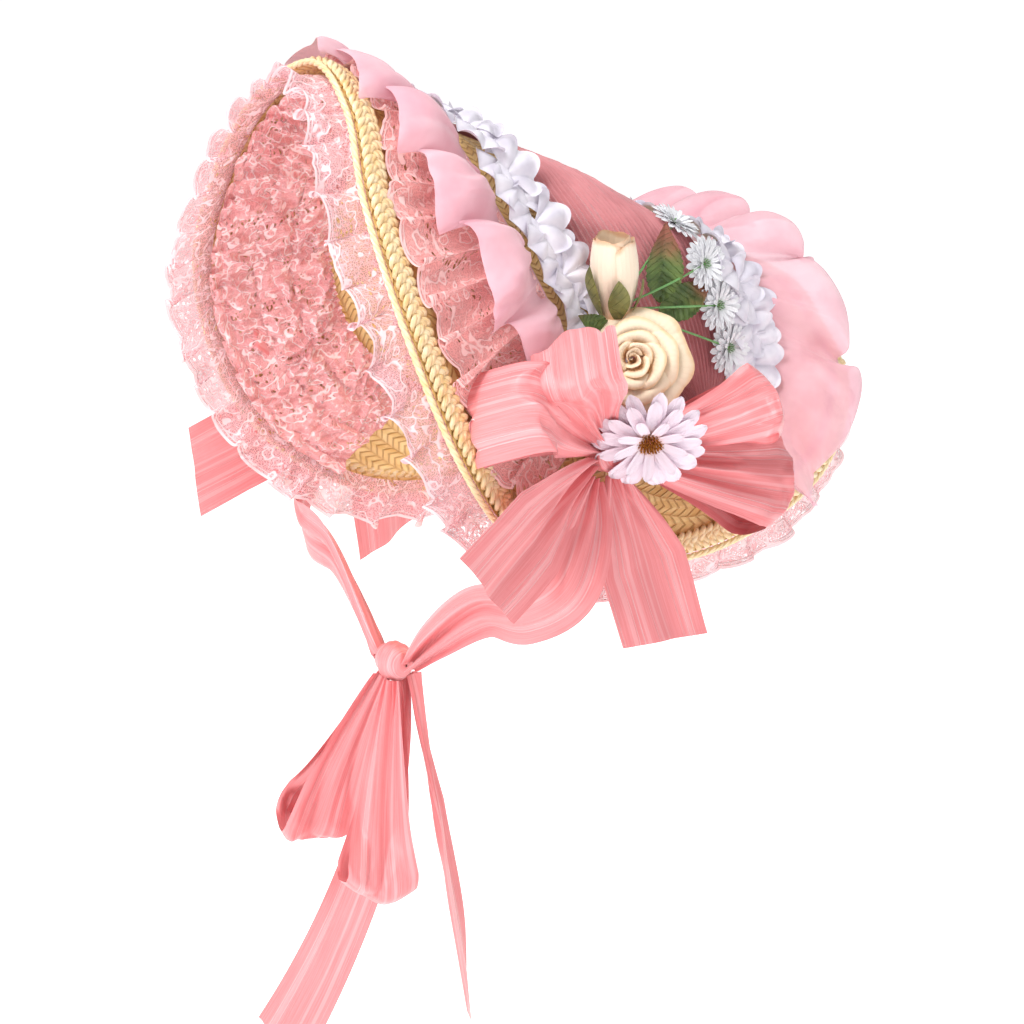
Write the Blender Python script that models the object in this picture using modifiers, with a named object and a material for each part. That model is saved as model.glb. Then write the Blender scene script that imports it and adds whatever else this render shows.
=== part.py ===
# A bonnet-style straw sun hat with chiffon ruffles, lace, two ribbon bows,
# silk flowers and a ribbon tied under the chin. Metres, +Z up. The front
# faces -Y and the wearer's left, where the flowers are, is +X. The origin is
# the inside top of the crown, where the hat sits on the head.

import math

import bmesh
import bpy
from mathutils import Vector

# Walls and gaps
STRAW_WALL = 0.0022
CLOTH_WALL = 0.0011
SEAM_GAP = 0.0008
SEAM_HEIGHT = 0.0015
SASH_HEIGHT = 0.0020
UNDER_HEIGHT = 0.0024
CROWN_BULGE = 0.007

# Straw body
CROWN_HALF_WIDTH = 0.088
CROWN_LENGTH = 0.150
CROWN_DROP = 0.154
BRIM_REACH = 0.120
CROWN_FRONT_TOP = 0.042
CROWN_FRONT = 0.075
RIM_CORD_RADIUS = 0.003

# Trims laid on the straw
SASH_PLEATS = 6
SASH_PLEAT_DEPTH = 0.0022
PETAL_OUT = 0.003
PETAL_WIDTH = 0.023
PETAL_HEIGHT = 0.012
PETAL_COUNT = 11
RUFFLE_GAP = 0.003
RUFFLE_WIDTH = 0.058
FRONT_RUFFLE_HEIGHT = 0.026
FRONT_RUFFLE_FOLDS = 9
BACK_RUFFLE_HEIGHT = 0.034
BACK_RUFFLE_FOLDS = 8
BARE_EDGE = 0.012
OUTER_LACE_WIDTH = 0.040
OUTER_SCALLOPS = 10
LACE_TUCK = 0.014
LACE_WAVE = 0.0022
FRILL_WIDTH = 0.022
FRILL_SCALLOPS = 22
LINING_ROWS = 3
LINING_ROW_WIDTH = 0.018
LINING_ROW_GAP = 0.003
LINING_PUFF = 0.008
LINING_GATHERS = 10

# Where the trims end, as shares of the turn round the hat from its front top
FRONT_PETAL_END = 0.195
FRONT_RUFFLE_END = 0.160
BACK_PETAL_START = 0.325
BACK_RUFFLE_START = 0.305
LACE_END = 0.205
LINING_END = 0.225

# Ribbon
RIBBON_WIDTH = 0.054
RIBBON_PINCH = 0.009
RIBBON_RIPPLE = 0.0025
LAYER_GAP = 0.0016
BOW_TURN = 0.215
BOW_OUT = 0.46
BOW_KNOT_RADIUS = 0.011
BOW_KNOT_DEPTH = 0.0118
KNOT_GAP = 0.0007
BOW_LOOP_LENGTH = 0.090
BOW_LOOP_OPENING = 0.016
BOW_TAIL_LENGTH = 0.092
STRAP_WIDTH = 0.038
STRAP_SEAT = 0.0026
CHIN_DROP = 0.252
CHIN_FORWARD = 0.101
CHIN_KNOT_RADIUS = 0.012
CHIN_LOOP_LENGTH = 0.112
CHIN_TAIL_LENGTH = 0.215
CHIN_LOOP_WIDTH = 0.040
CHIN_LOOP_OPENING = 0.011
CHIN_TAIL_WIDTH = 0.034
CHIN_CUT_SLANT = 0.6

# Bow pieces: rise and lean in degrees, then shares of the named sizes
#    piece,             rise, lean, length, width, opening, lift
BOW_LOOPS = (
    ("front_high_loop", 59.0, 29.0, 0.92, 0.78, 0.70, 0.22),
    ("front_loop", 25.0, 15.5, 0.96, 0.90, 0.75, -0.05),
    ("back_high_loop", 160.0, 30.0, 0.92, 0.72, 0.70, 0.12),
    ("back_loop", 197.0, 14.0, 1.06, 0.95, 0.75, -0.10),
)
#    piece,       rise,  lean, length, slant
BOW_TAILS = (
    ("front_tail", -26.0, 18.0, 1.18, 0.30),
    ("down_tail", 257.0, 12.0, 1.04, -0.25),
)
# The tie's way from side bow to chin knot: shares of the span, then width
STRAP_ROUTE = (
    (-0.03, 0.16, 0.10, 0.26),
    (-0.14, 0.36, 0.26, 0.80),
    (-0.21, 0.66, 0.47, 1.00),
    (0.00, 0.86, 0.60, 0.95),
    (0.38, 0.90, 0.66, 0.80),
    (0.75, 0.97, 0.84, 0.55),
    (1.00, 1.00, 1.00, 0.24),
)
# Chin bow: side of the knot, then for a loop its aim and length share, for a
# tail the way its width lies, its aim, how far its end has drifted and its
# length share
CHIN_LOOPS = (
    ("chin_right_loop", (-0.50, -0.34, -0.80), (-0.36, -0.23, -0.90), 0.97),
    ("chin_left_loop", (0.42, -0.36, -0.85), (0.20, -0.24, -0.95), 1.08),
)
CHIN_TAILS = (
    ("chin_right_tail", (-0.30, 0.62, -0.75), (0.90, 0.30), (-0.12, 0.08, -1.00),
     (-0.10, -0.34, 0.05), 1.12),
    ("chin_left_tail", (0.50, 0.62, -0.70), (0.78, -0.63), (0.13, 0.14, -0.90),
     (0.0, -0.04, 0.0), 0.92),
)

# Flowers: places are turn, share of the brim and height over the straw
ROSE_RADIUS = 0.027
ROSE_PLACE = (0.190, 0.15, 0.0295)
ROSE_FACING = (0.80, -0.55, 0.26)
BUD_LENGTH = 0.044
BUD_RADIUS = 0.0115
BUD_PLACE = (0.170, 0.05, 0.0168)
BUD_AXIS = (0.10, -0.12, 1.0)
LEAF_LENGTH = 0.042
LEAF_WIDTH = 0.022
# place, way from foot to tip, facing, share of the leaf's size
LEAVES = (
    ((0.190, -0.20, 0.0176), (0.05, 0.10, 1.0), (1.0, -0.3, 0.1), 1.00),
    ((0.197, -0.17, 0.0150), (0.10, 0.85, 0.42), (0.9, -0.2, 0.4), 0.90),
    ((0.175, 0.12, 0.0142), (0.25, -0.75, 0.50), (0.9, -0.4, 0.4), 0.62),
)
DAISY_RADIUS = 0.027
DAISY_PLACE = (0.215, 0.40, 0.0396)
DAISY_FACING = (0.80, -0.50, -0.40)
SMALL_DAISY_RADIUS = 0.0120
# Small daisies on the crown: share of the way to the left ear, share of the
# way back, and height over the straw
SMALL_DAISIES = (
    (0.33, 0.83, 0.0058),
    (0.45, 0.86, 0.0072),
    (0.57, 0.84, 0.0074),
    (0.70, 0.86, 0.0076),
)

# Sections of the straw from the front top, over the wearer's left ear, to
# the back top. Ring is the line where crown and brim meet: across as a share
# of the crown's half width, along as a share of its length behind the front
# top, down as a share of its drop. Reach is the way from ring to rim, as
# shares of the brim's reach.
#           ring: across, along,  down    reach: across, along,  up
SECTIONS = (
    ((0.000, 0.000, 0.000), (0.000, -0.583, 0.317)),
    ((0.511, 0.067, 0.058), (-0.008, -0.725, 0.225)),
    ((0.705, 0.153, 0.221), (0.100, -0.908, 0.083)),
    ((0.830, 0.247, 0.416), (0.275, -1.000, -0.175)),
    ((0.909, 0.340, 0.597), (0.317, -0.908, -0.517)),
    ((0.966, 0.473, 0.805), (0.225, -0.758, -0.633)),
    ((1.000, 0.673, 0.961), (0.133, -0.542, -0.650)),
    ((1.000, 0.820, 0.961), (0.125, -0.020, -0.650)),
    ((0.977, 0.920, 0.818), (0.083, 0.455, -0.617)),
    ((0.966, 0.890, 0.623), (-0.008, 0.745, -0.508)),
    ((0.864, 0.803, 0.429), (-0.083, 0.805, -0.467)),
    ((0.477, 0.790, 0.396), (-0.050, 0.885, -0.392)),
    ((0.000, 0.790, 0.390), (0.000, 0.905, -0.350)),
)
HALF_TURN = len(SECTIONS) - 1
EAR = 6.5 / (2 * HALF_TURN)

STRAW_AROUND = 11
STRAW_RADIAL = 4
CROWN_ROWS = 6


def clear_scene():
    for item in list(bpy.data.objects):
        bpy.data.objects.remove(item, do_unlink=True)


def new_collection(name):
    group = bpy.data.collections.new(name)
    bpy.context.scene.collection.children.link(group)
    return group


def material(name, colour, roughness, sheen=0.0):
    """A plain Principled material in one colour."""
    made = bpy.data.materials.new(name)
    made.use_nodes = True
    shader = made.node_tree.nodes["Principled BSDF"]
    shader.inputs["Base Color"].default_value = (*colour, 1.0)
    shader.inputs["Roughness"].default_value = roughness
    shader.inputs["Sheen Weight"].default_value = sheen
    made.diffuse_color = (*colour, 1.0)
    return made


def section(index):
    """Ring point and reach of one section, counted right round the hat."""
    index %= 2 * HALF_TURN
    side = 1.0
    if index > HALF_TURN:
        index = 2 * HALF_TURN - index
        side = -1.0
    (across, along, down), (out, back, up) = SECTIONS[index]
    ring = Vector((
        side * across * CROWN_HALF_WIDTH,
        along * CROWN_LENGTH - CROWN_FRONT,
        CROWN_FRONT_TOP - down * CROWN_DROP,
    ))
    reach = Vector((side * out, back, up)) * BRIM_REACH
    return ring, reach


def smooth_between(a, b, c, d, share):
    """The Catmull-Rom curve from b to c."""
    return 0.5 * (
        2 * b
        + (c - a) * share
        + (2 * a - 5 * b + 4 * c - d) * share**2
        + (3 * b - a - 3 * c + d) * share**3
    )


def ring_and_reach(turn):
    """Ring point and reach at a share of the whole turn round the hat."""
    place = turn * 2 * HALF_TURN
    first = math.floor(place)
    four = [section(first + step) for step in (-1, 0, 1, 2)]
    share = place - first
    ring = smooth_between(*[pair[0] for pair in four], share)
    reach = smooth_between(*[pair[1] for pair in four], share)
    return ring, reach


def brim(turn, out):
    """Upper face of the brim: out is 0 at the ring and 1 at the rim."""
    ring, reach = ring_and_reach(turn)
    return ring + reach * out


def crown(across, back):
    """Upper face of the crown between its front and back arches. Across runs
    from -1 at the right ear to 1 at the left, back from 0 to 1."""
    front_point = brim(across * EAR, 0.0)
    back_point = brim(0.5 - across * (0.5 - EAR), 0.0)
    point = front_point.lerp(back_point, back)
    middle = Vector((0.0, 0.0, CROWN_FRONT_TOP - CROWN_DROP * 0.6))
    swell = math.sin(math.pi * back) * math.sqrt(1.0 - across**2)
    return point + (point - middle).normalized() * CROWN_BULGE * swell


def normal_of(surface, a, b, step=0.004):
    """Outward normal of a surface function, away from the head."""
    along = surface(a + step, b) - surface(a - step, b)
    over = surface(a, b + step) - surface(a, b - step)
    normal = along.cross(over).normalized()
    middle = Vector((0.0, 0.0, -CROWN_DROP * 0.5))
    if normal.dot(surface(a, 0.3) - middle) < 0.0:
        normal.negate()
    return normal


def on_brim(turn, out, height):
    """A point at a height over the brim's upper face."""
    return brim(turn, out) + normal_of(brim, turn, out) * height


def on_crown(across, back, height):
    return crown(across, back) + normal_of(crown, across, back) * height


def reach_length(turn):
    return ring_and_reach(turn)[1].length


def add_grid(mesh, columns, rows, place):
    """A grid whose corners are placed by a function of two shares."""
    before = len(mesh.verts)
    bmesh.ops.create_grid(mesh, x_segments=columns, y_segments=rows, size=0.5)
    mesh.verts.ensure_lookup_table()
    for vert in mesh.verts[before:]:
        vert.co = place(vert.co.x + 0.5, vert.co.y + 0.5)


def faces_away(mesh):
    """Whether an open shell's faces on the whole face away from the head."""
    middle = Vector((0.0, 0.0, -CROWN_DROP * 0.6))
    total = 0.0
    for face in mesh.faces:
        away = face.calc_center_median() - middle
        total += face.normal.dot(away) * face.calc_area()
    return total > 0.0


def object_from(mesh, name, paint, group, wall=None, side=0.0):
    """Make a bmesh into an object, with a wall if it is an open sheet. Side 0
    puts the wall half on each side of the sheet, -1 puts it all inside."""
    bmesh.ops.remove_doubles(mesh, verts=mesh.verts, dist=0.00002)
    bmesh.ops.dissolve_degenerate(mesh, edges=mesh.edges, dist=0.00001)
    bmesh.ops.recalc_face_normals(mesh, faces=mesh.faces)
    if side and not faces_away(mesh):
        bmesh.ops.reverse_faces(mesh, faces=mesh.faces)
    data = bpy.data.meshes.new(name)
    mesh.to_mesh(data)
    mesh.free()
    data.materials.append(paint)
    data.shade_smooth()
    made = bpy.data.objects.new(name, data)
    group.objects.link(made)
    if wall:
        solidify = made.modifiers.new("Wall", "SOLIDIFY")
        solidify.thickness = wall
        solidify.offset = side
        solidify.use_even_offset = False
    return made


def sheet(name, columns, rows, place, paint, group):
    """A cloth sheet with a wall, from a function of two shares."""
    mesh = bmesh.new()
    add_grid(mesh, columns, rows, place)
    return object_from(mesh, name, paint, group, CLOTH_WALL)


def straw_turn(share):
    """Turns at which the brim and the crown share their corners."""
    place = share * 4.0
    if place <= 1.0:
        return place * EAR
    if place <= 3.0:
        return 0.5 - (2.0 - place) * (0.5 - EAR)
    return 1.0 - (4.0 - place) * EAR


def straw_body(paint, group):
    """Crown and brim, one shell of sewn straw braid."""
    mesh = bmesh.new()
    add_grid(mesh, 4 * STRAW_AROUND, STRAW_RADIAL, lambda a, b: brim(straw_turn(a), b))
    add_grid(mesh, 2 * STRAW_AROUND, CROWN_ROWS, lambda a, b: crown(2.0 * a - 1.0, b))
    return object_from(mesh, "straw_body", paint, group, STRAW_WALL, -1.0)


def rim_edge(turn, past):
    """A point past the rim, in the brim's own direction, at mid wall."""
    ring, reach = ring_and_reach(turn)
    drop = normal_of(brim, turn, 0.9) * STRAW_WALL * 0.5
    return ring + reach + reach.normalized() * past - drop


def rim_braid(paint, group):
    """The round braid that finishes the rim."""
    sides = 6
    mesh = bmesh.new()

    def place(a, b):
        turn = straw_turn(a)
        centre = rim_edge(turn, RIM_CORD_RADIUS + SEAM_GAP)
        out = ring_and_reach(turn)[1].normalized()
        up = normal_of(brim, turn, 0.9)
        angle = 2.0 * math.pi * b
        return centre + (out * math.cos(angle) + up * math.sin(angle)) * RIM_CORD_RADIUS

    add_grid(mesh, 4 * STRAW_AROUND, sides, place)
    return object_from(mesh, "rim_braid", paint, group)


def crown_sash(paint, group):
    """Pleated chiffon drawn over the crown from ear to ear."""

    def place(a, b):
        across = (2.0 * a - 1.0) * 0.93
        back = 0.05 + 0.90 * b
        lift = 0.5 - 0.5 * math.cos(2.0 * math.pi * SASH_PLEATS * b)
        height = SASH_HEIGHT + SASH_PLEAT_DEPTH * lift
        return on_crown(across, back, height)

    return sheet("crown_sash", 20, 2 * SASH_PLEATS, place, paint, group)


def petal_trim(name, start, end, paint, group):
    """Satin ribbon gathered into a row of shells along the ring."""

    def place(a, b):
        turn = start + (end - start) * a
        shells = 0.5 - 0.5 * math.cos(2.0 * math.pi * PETAL_COUNT * a)
        dome = math.sin(math.pi * b)
        reach = reach_length(turn)
        width = PETAL_WIDTH * (0.82 + 0.18 * shells) / reach
        slant = 0.08 * math.sin(2.0 * math.pi * PETAL_COUNT * a) * dome
        height = SEAM_HEIGHT + PETAL_HEIGHT * dome * (0.45 + 0.55 * shells)
        return on_brim(turn, PETAL_OUT / reach + width * (b + slant), height)

    return sheet(name, 4 * PETAL_COUNT, 2, place, paint, group)


def chiffon_ruffle(name, start, end, folds, height, curl, paint, group):
    """A gathered chiffon frill standing up from its seam on the brim."""
    spacing = (end - start) / folds

    def place(a, b):
        turn = start + (end - start) * a
        fold = 2.0 * math.pi * folds * a
        reach = reach_length(turn)
        root = (PETAL_OUT + PETAL_WIDTH + RUFFLE_GAP) / reach
        rise = math.sin(0.5 * math.pi * b * curl)
        sweep = RUFFLE_WIDTH / reach * b * (0.80 + 0.20 * math.sin(fold))
        lift = height * rise * (0.70 + 0.30 * math.cos(fold + 0.6))
        sway = 0.10 * spacing * b * math.sin(fold + 0.5)
        return on_brim(turn + sway, root + sweep, SEAM_HEIGHT + lift)

    return sheet(name, 6 * folds, 2, place, paint, group)


def outer_lace(paint, group):
    """Scalloped lace on the brim's upper face, inside the bare edge."""

    def place(a, b):
        turn = LACE_END * (2.0 * a - 1.0)
        scallop = abs(math.sin(math.pi * OUTER_SCALLOPS * a))
        reach = reach_length(turn)
        free = 1.0 - BARE_EDGE / reach
        ruffle_seam = (PETAL_OUT + PETAL_WIDTH + RUFFLE_GAP) / reach
        root = max(free - OUTER_LACE_WIDTH / reach, ruffle_seam + LACE_TUCK / reach)
        out = root + (free - root) * b * (0.84 + 0.16 * scallop)
        wave = math.sin(2.0 * math.pi * OUTER_SCALLOPS * a)
        return on_brim(turn, out, SEAM_HEIGHT + LACE_WAVE * b * (1.0 + wave))

    return sheet("outer_lace", 4 * OUTER_SCALLOPS, 2, place, paint, group)


def under_brim(turn, out, depth):
    """A point at a depth below the brim's lower face."""
    return on_brim(turn, out, -STRAW_WALL - depth)


def edge_frill(paint, group):
    """Scalloped lace sewn under the rim and standing out past it all round."""
    tucked = 0.006

    def place(a, b):
        reach = reach_length(a)
        scallop = abs(math.sin(math.pi * FRILL_SCALLOPS * a))
        past = -tucked + (FRILL_WIDTH + tucked) * b * (0.84 + 0.16 * scallop)
        wave = math.sin(2.0 * math.pi * FRILL_SCALLOPS * a)
        clear_cord = RIM_CORD_RADIUS * 1.1 * min(1.0, 2.5 * b)
        depth = UNDER_HEIGHT + clear_cord + LACE_WAVE * b * (1.0 + wave)
        return under_brim(a, 1.0 + past / reach, depth)

    return sheet("edge_frill", 2 * FRILL_SCALLOPS, 2, place, paint, group)


def lining_lace(row, paint, group):
    """One gathered row of the lace that lines the inside of the front brim."""

    def place(a, b):
        turn = LINING_END * (2.0 * a - 1.0)
        reach = reach_length(turn)
        outer = 1.0 - (0.010 + row * (LINING_ROW_WIDTH + LINING_ROW_GAP)) / reach
        out = outer - LINING_ROW_WIDTH / reach * b
        gather = math.sin(2.0 * math.pi * LINING_GATHERS * a + row)
        puff = math.sin(math.pi * b) * (0.75 + 0.25 * gather)
        return under_brim(turn, out, UNDER_HEIGHT + LINING_PUFF * puff)

    return sheet("lining_lace_%d" % (row + 1), 2 * LINING_GATHERS, 2, place, paint, group)


def ribbon_loop(name, base, aim, across, length, width, opening, paint, group):
    """A ribbon loop: out from its pinched base and back under itself."""
    aim = aim.normalized()
    across = (across - aim * across.dot(aim)).normalized()
    face = across.cross(aim)

    def place(a, b):
        swell = math.sin(math.pi * a)
        gone = length * (1.0 - abs(2.0 * a - 1.0) ** 2.2)
        layer = 0.5 * opening * math.sin(2.0 * math.pi * a) + LAYER_GAP * (1.0 - 2.0 * a)
        wide = RIBBON_PINCH + (width - RIBBON_PINCH) * min(1.0, 1.15 * swell) ** 0.9
        cup = 0.06 * width * swell * (1.0 - 4.0 * (b - 0.5) ** 2)
        point = base + aim * (gone - cup) + face * layer
        return point + across * wide * (b - 0.5)

    return sheet(name, 12, 2, place, paint, group)


def ribbon_tail(name, base, aim, across, length, width, slant, paint, group,
                droop=Vector((0.0, 0.0, 0.0))):
    """A flat ribbon end: pinched at its base, cut on a slant at its tip."""
    aim = aim.normalized()
    across = (across - aim * across.dot(aim)).normalized()
    face = across.cross(aim)

    def place(a, b):
        wide = RIBBON_PINCH + (width - RIBBON_PINCH) * min(1.0, a / 0.55) ** 0.8
        gone = length * a + slant * width * (b - 0.5) * a**3
        fold = RIBBON_RIPPLE * math.cos(2.0 * math.pi * b) * math.sin(math.pi * a)
        point = base + aim * gone + face * fold + droop * a**1.7
        return point + across * wide * (b - 0.5)

    return sheet(name, 6, 4, place, paint, group)


def knot(name, centre, radii, paint, group):
    """The wrapped knot of a bow, a short rounded barrel."""
    mesh = bmesh.new()
    bmesh.ops.create_uvsphere(mesh, u_segments=12, v_segments=8, radius=1.0)
    for vert in mesh.verts:
        vert.co = centre + Vector(tuple(vert.co[i] * radii[i] for i in range(3)))
    return object_from(mesh, name, paint, group)


def at_knot(centre, radii, way):
    """Where a ribbon leaves a knot on a given side, just clear of it."""
    way = way.normalized()
    stretched = Vector(tuple(way[i] / radii[i] for i in range(3)))
    return centre + way * (1.0 / stretched.length + KNOT_GAP)


def bow_centre(side):
    """Where a side bow's knot stands on the brim over an ear."""
    seat = on_brim(BOW_TURN, BOW_OUT, BOW_KNOT_DEPTH + SEAM_GAP)
    return Vector((side * seat.x, seat.y, seat.z))


def bow_directions(side, rise, lean):
    """Aim and across of a bow piece: rise turns it up from straight ahead,
    lean turns it away from the hat."""
    rise = math.radians(rise)
    lean = math.radians(lean)
    ahead = Vector((0.0, -math.cos(rise), math.sin(rise)))
    across = Vector((0.0, math.sin(rise), math.cos(rise)))
    aim = ahead * math.cos(lean) + Vector((side * math.sin(lean), 0.0, 0.0))
    return aim, across


def side_bow(side, paint, group):
    """Four loops, two cut ends and a knot, over one ear."""
    word = "left" if side > 0 else "right"
    centre = bow_centre(side)
    radii = (BOW_KNOT_DEPTH, BOW_KNOT_RADIUS, BOW_KNOT_RADIUS)
    knot("%s_bow_knot" % word, centre, radii, paint, group)
    for piece, rise, lean, long, wide, open_share, lift in BOW_LOOPS:
        aim, across = bow_directions(side, rise, lean)
        base = at_knot(centre, radii, aim + Vector((side * lift, 0.0, 0.0)))
        ribbon_loop("%s_bow_%s" % (word, piece), base, aim, across * side,
                    BOW_LOOP_LENGTH * long, RIBBON_WIDTH * wide,
                    BOW_LOOP_OPENING * open_share, paint, group)
    for piece, rise, lean, long, slant in BOW_TAILS:
        aim, across = bow_directions(side, rise, lean)
        base = at_knot(centre, radii, aim)
        ribbon_tail("%s_bow_%s" % (word, piece), base, aim, across * side,
                    BOW_TAIL_LENGTH * long, RIBBON_WIDTH, slant, paint, group)


def chin_knot_centre():
    return Vector((0.0, -CHIN_FORWARD, -CHIN_DROP))


def chin_strap(side, paint, group):
    """The tie from a side bow, over the rim and down to the chin knot."""
    word = "left" if side > 0 else "right"
    start = bow_centre(side)
    end = chin_knot_centre()
    end.x = side * (CHIN_KNOT_RADIUS + STRAP_SEAT)
    last = len(STRAP_ROUTE) - 1

    def station(index):
        index = min(max(index, 0), last)
        share_x, share_y, share_z, wide = STRAP_ROUTE[index]
        return Vector((
            start.x + (end.x - start.x) * share_x,
            start.y + (end.y - start.y) * share_y,
            start.z + (end.z - start.z) * share_z,
        )), wide

    def centre_and_width(a):
        place = a * last
        first = min(int(place), last - 1)
        four = [station(first + step) for step in (-1, 0, 1, 2)]
        point = smooth_between(*[pair[0] for pair in four], place - first)
        wide = smooth_between(*[pair[1] for pair in four], place - first)
        return point, wide

    def place(a, b):
        point, wide = centre_and_width(a)
        ahead = centre_and_width(min(a + 0.01, 1.0))[0]
        behind = centre_and_width(max(a - 0.01, 0.0))[0]
        face = Vector((side, -0.2, 0.0)).lerp(Vector((side * 0.35, -1.0, -0.1)), a)
        across = (ahead - behind).cross(face).normalized()
        return point + across * STRAP_WIDTH * wide * (b - 0.5)

    return sheet("%s_chin_strap" % word, 14, 2, place, paint, group)


def chin_bow(paint, group):
    """The bow that ties the two straps under the chin."""
    centre = chin_knot_centre()
    radii = (CHIN_KNOT_RADIUS, CHIN_KNOT_RADIUS * 0.8, CHIN_KNOT_RADIUS * 0.9)
    knot("chin_knot", centre, radii, paint, group)
    across = Vector((0.85, 0.50, 0.0))
    for name, start, aim, long in CHIN_LOOPS:
        base = at_knot(centre, radii, Vector(start))
        ribbon_loop(name, base, Vector(aim), across,
                    CHIN_LOOP_LENGTH * long, CHIN_LOOP_WIDTH, CHIN_LOOP_OPENING, paint, group)
    for name, start, wide, aim, droop, long in CHIN_TAILS:
        across = Vector((*wide, 0.0))
        ribbon_tail(name, at_knot(centre, radii, Vector(start)), Vector(aim), across,
                    CHIN_TAIL_LENGTH * long, CHIN_TAIL_WIDTH, CHIN_CUT_SLANT, paint, group,
                    Vector(droop) * CHIN_TAIL_LENGTH)


def flower_frame(facing):
    """Two directions across a flower that faces a given way."""
    facing = facing.normalized()
    right = facing.cross(Vector((0.0, 0.0, 1.0))).normalized()
    return facing, right, right.cross(facing)


def petal_bowl(name, centre, facing, radius, depth, petals, notch, flare, paint, group,
               inner, columns=4):
    """A ring of petals joined at the foot, open in the middle."""
    facing, right, up = flower_frame(facing)

    def place(a, b):
        angle = 2.0 * math.pi * a
        lobe = abs(math.cos(0.5 * petals * angle))
        reach = inner + (1.0 - inner) * b * (1.0 - notch * b * (1.0 - lobe))
        spread = right * math.cos(angle) + up * math.sin(angle)
        rise = depth * (reach**flare - 0.5)
        return centre + spread * radius * reach + facing * rise

    return sheet(name, columns * petals, 2, place, paint, group)


def dome(name, centre, facing, radius, height, paint, group):
    """A closed rounded flower heart."""
    facing, right, up = flower_frame(facing)
    mesh = bmesh.new()
    bmesh.ops.create_uvsphere(mesh, u_segments=10, v_segments=6, radius=1.0)
    for vert in mesh.verts:
        x, y, z = vert.co
        vert.co = centre + (right * x + up * y) * radius + facing * z * height
    return object_from(mesh, name, paint, group)


def rose(cream, group):
    """The full rose: an outer ring of petals round a furled heart."""
    centre = on_brim(*ROSE_PLACE)
    facing = Vector(ROSE_FACING).normalized()
    petal_bowl("rose_petals", centre, facing, ROSE_RADIUS, ROSE_RADIUS * 0.9, 5, 0.10, 2.2,
               cream, group, 0.42)
    dome("rose_heart", centre + facing * ROSE_RADIUS * 0.09, facing, ROSE_RADIUS * 0.58,
         ROSE_RADIUS * 0.50, cream, group)


def rosebud(cream, green, group):
    """The half-open bud in its cup of sepals."""
    foot = on_brim(*BUD_PLACE)
    axis = Vector(BUD_AXIS).normalized()
    facing, right, up = flower_frame(axis)

    def skin(a, b):
        angle = 2.0 * math.pi * a
        share = min(max(b, 0.0), 1.0)
        radius = BUD_RADIUS * (0.30 + 0.85 * math.sin(math.pi * (0.10 + 0.72 * share)))
        spread = right * math.cos(angle) + up * math.sin(angle)
        return foot + axis * BUD_LENGTH * share + spread * radius

    mesh = bmesh.new()
    add_grid(mesh, 12, 6, skin)
    bmesh.ops.remove_doubles(mesh, verts=mesh.verts, dist=0.00002)
    bmesh.ops.holes_fill(mesh, edges=mesh.edges, sides=0)
    object_from(mesh, "rosebud", cream, group)
    cup = foot + axis * BUD_LENGTH * 0.20
    petal_bowl("rosebud_sepals", cup, axis, BUD_RADIUS * 1.35, BUD_LENGTH * 0.62, 4, 0.0,
               2.6, green, group, 0.62)


def leaf(name, place, along, facing, share, green, group):
    """A pointed leaf with a fold along its midrib."""
    foot = on_brim(*place)
    length = LEAF_LENGTH * share
    along = Vector(along).normalized()
    facing = Vector(facing).normalized()
    across = along.cross(facing).normalized()
    facing = across.cross(along)

    def surface(a, b):
        half = 0.5 * LEAF_WIDTH * share * (0.10 + 0.90 * math.sin(math.pi * a**0.8))
        offset = (2.0 * b - 1.0) * half
        lift = abs(offset) * 0.35 - length * 0.12 * a**2
        return foot + along * length * a + across * offset + facing * lift

    return sheet(name, 6, 2, surface, green, group)


def daisies(lilac, white, yellow, group):
    """The large daisy under the rose and the small ones behind the crown."""
    centre = on_brim(*DAISY_PLACE)
    facing = Vector(DAISY_FACING).normalized()
    petal_bowl("daisy_petals", centre, facing, DAISY_RADIUS, DAISY_RADIUS * 0.35, 9, 0.45,
               1.6, lilac, group, 0.22, 3)
    heart = centre - facing * DAISY_RADIUS * 0.12
    dome("daisy_heart", heart, facing, DAISY_RADIUS * 0.185, DAISY_RADIUS * 0.16, yellow,
         group)
    for number, (across, back, height) in enumerate(SMALL_DAISIES, 1):
        facing = normal_of(crown, across, back)
        petal_bowl("small_daisy_%d" % number, on_crown(across, back, height),
                   facing, SMALL_DAISY_RADIUS, SMALL_DAISY_RADIUS * 0.30, 6, 0.45, 1.6,
                   white, group, 0.18, 2)


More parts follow.
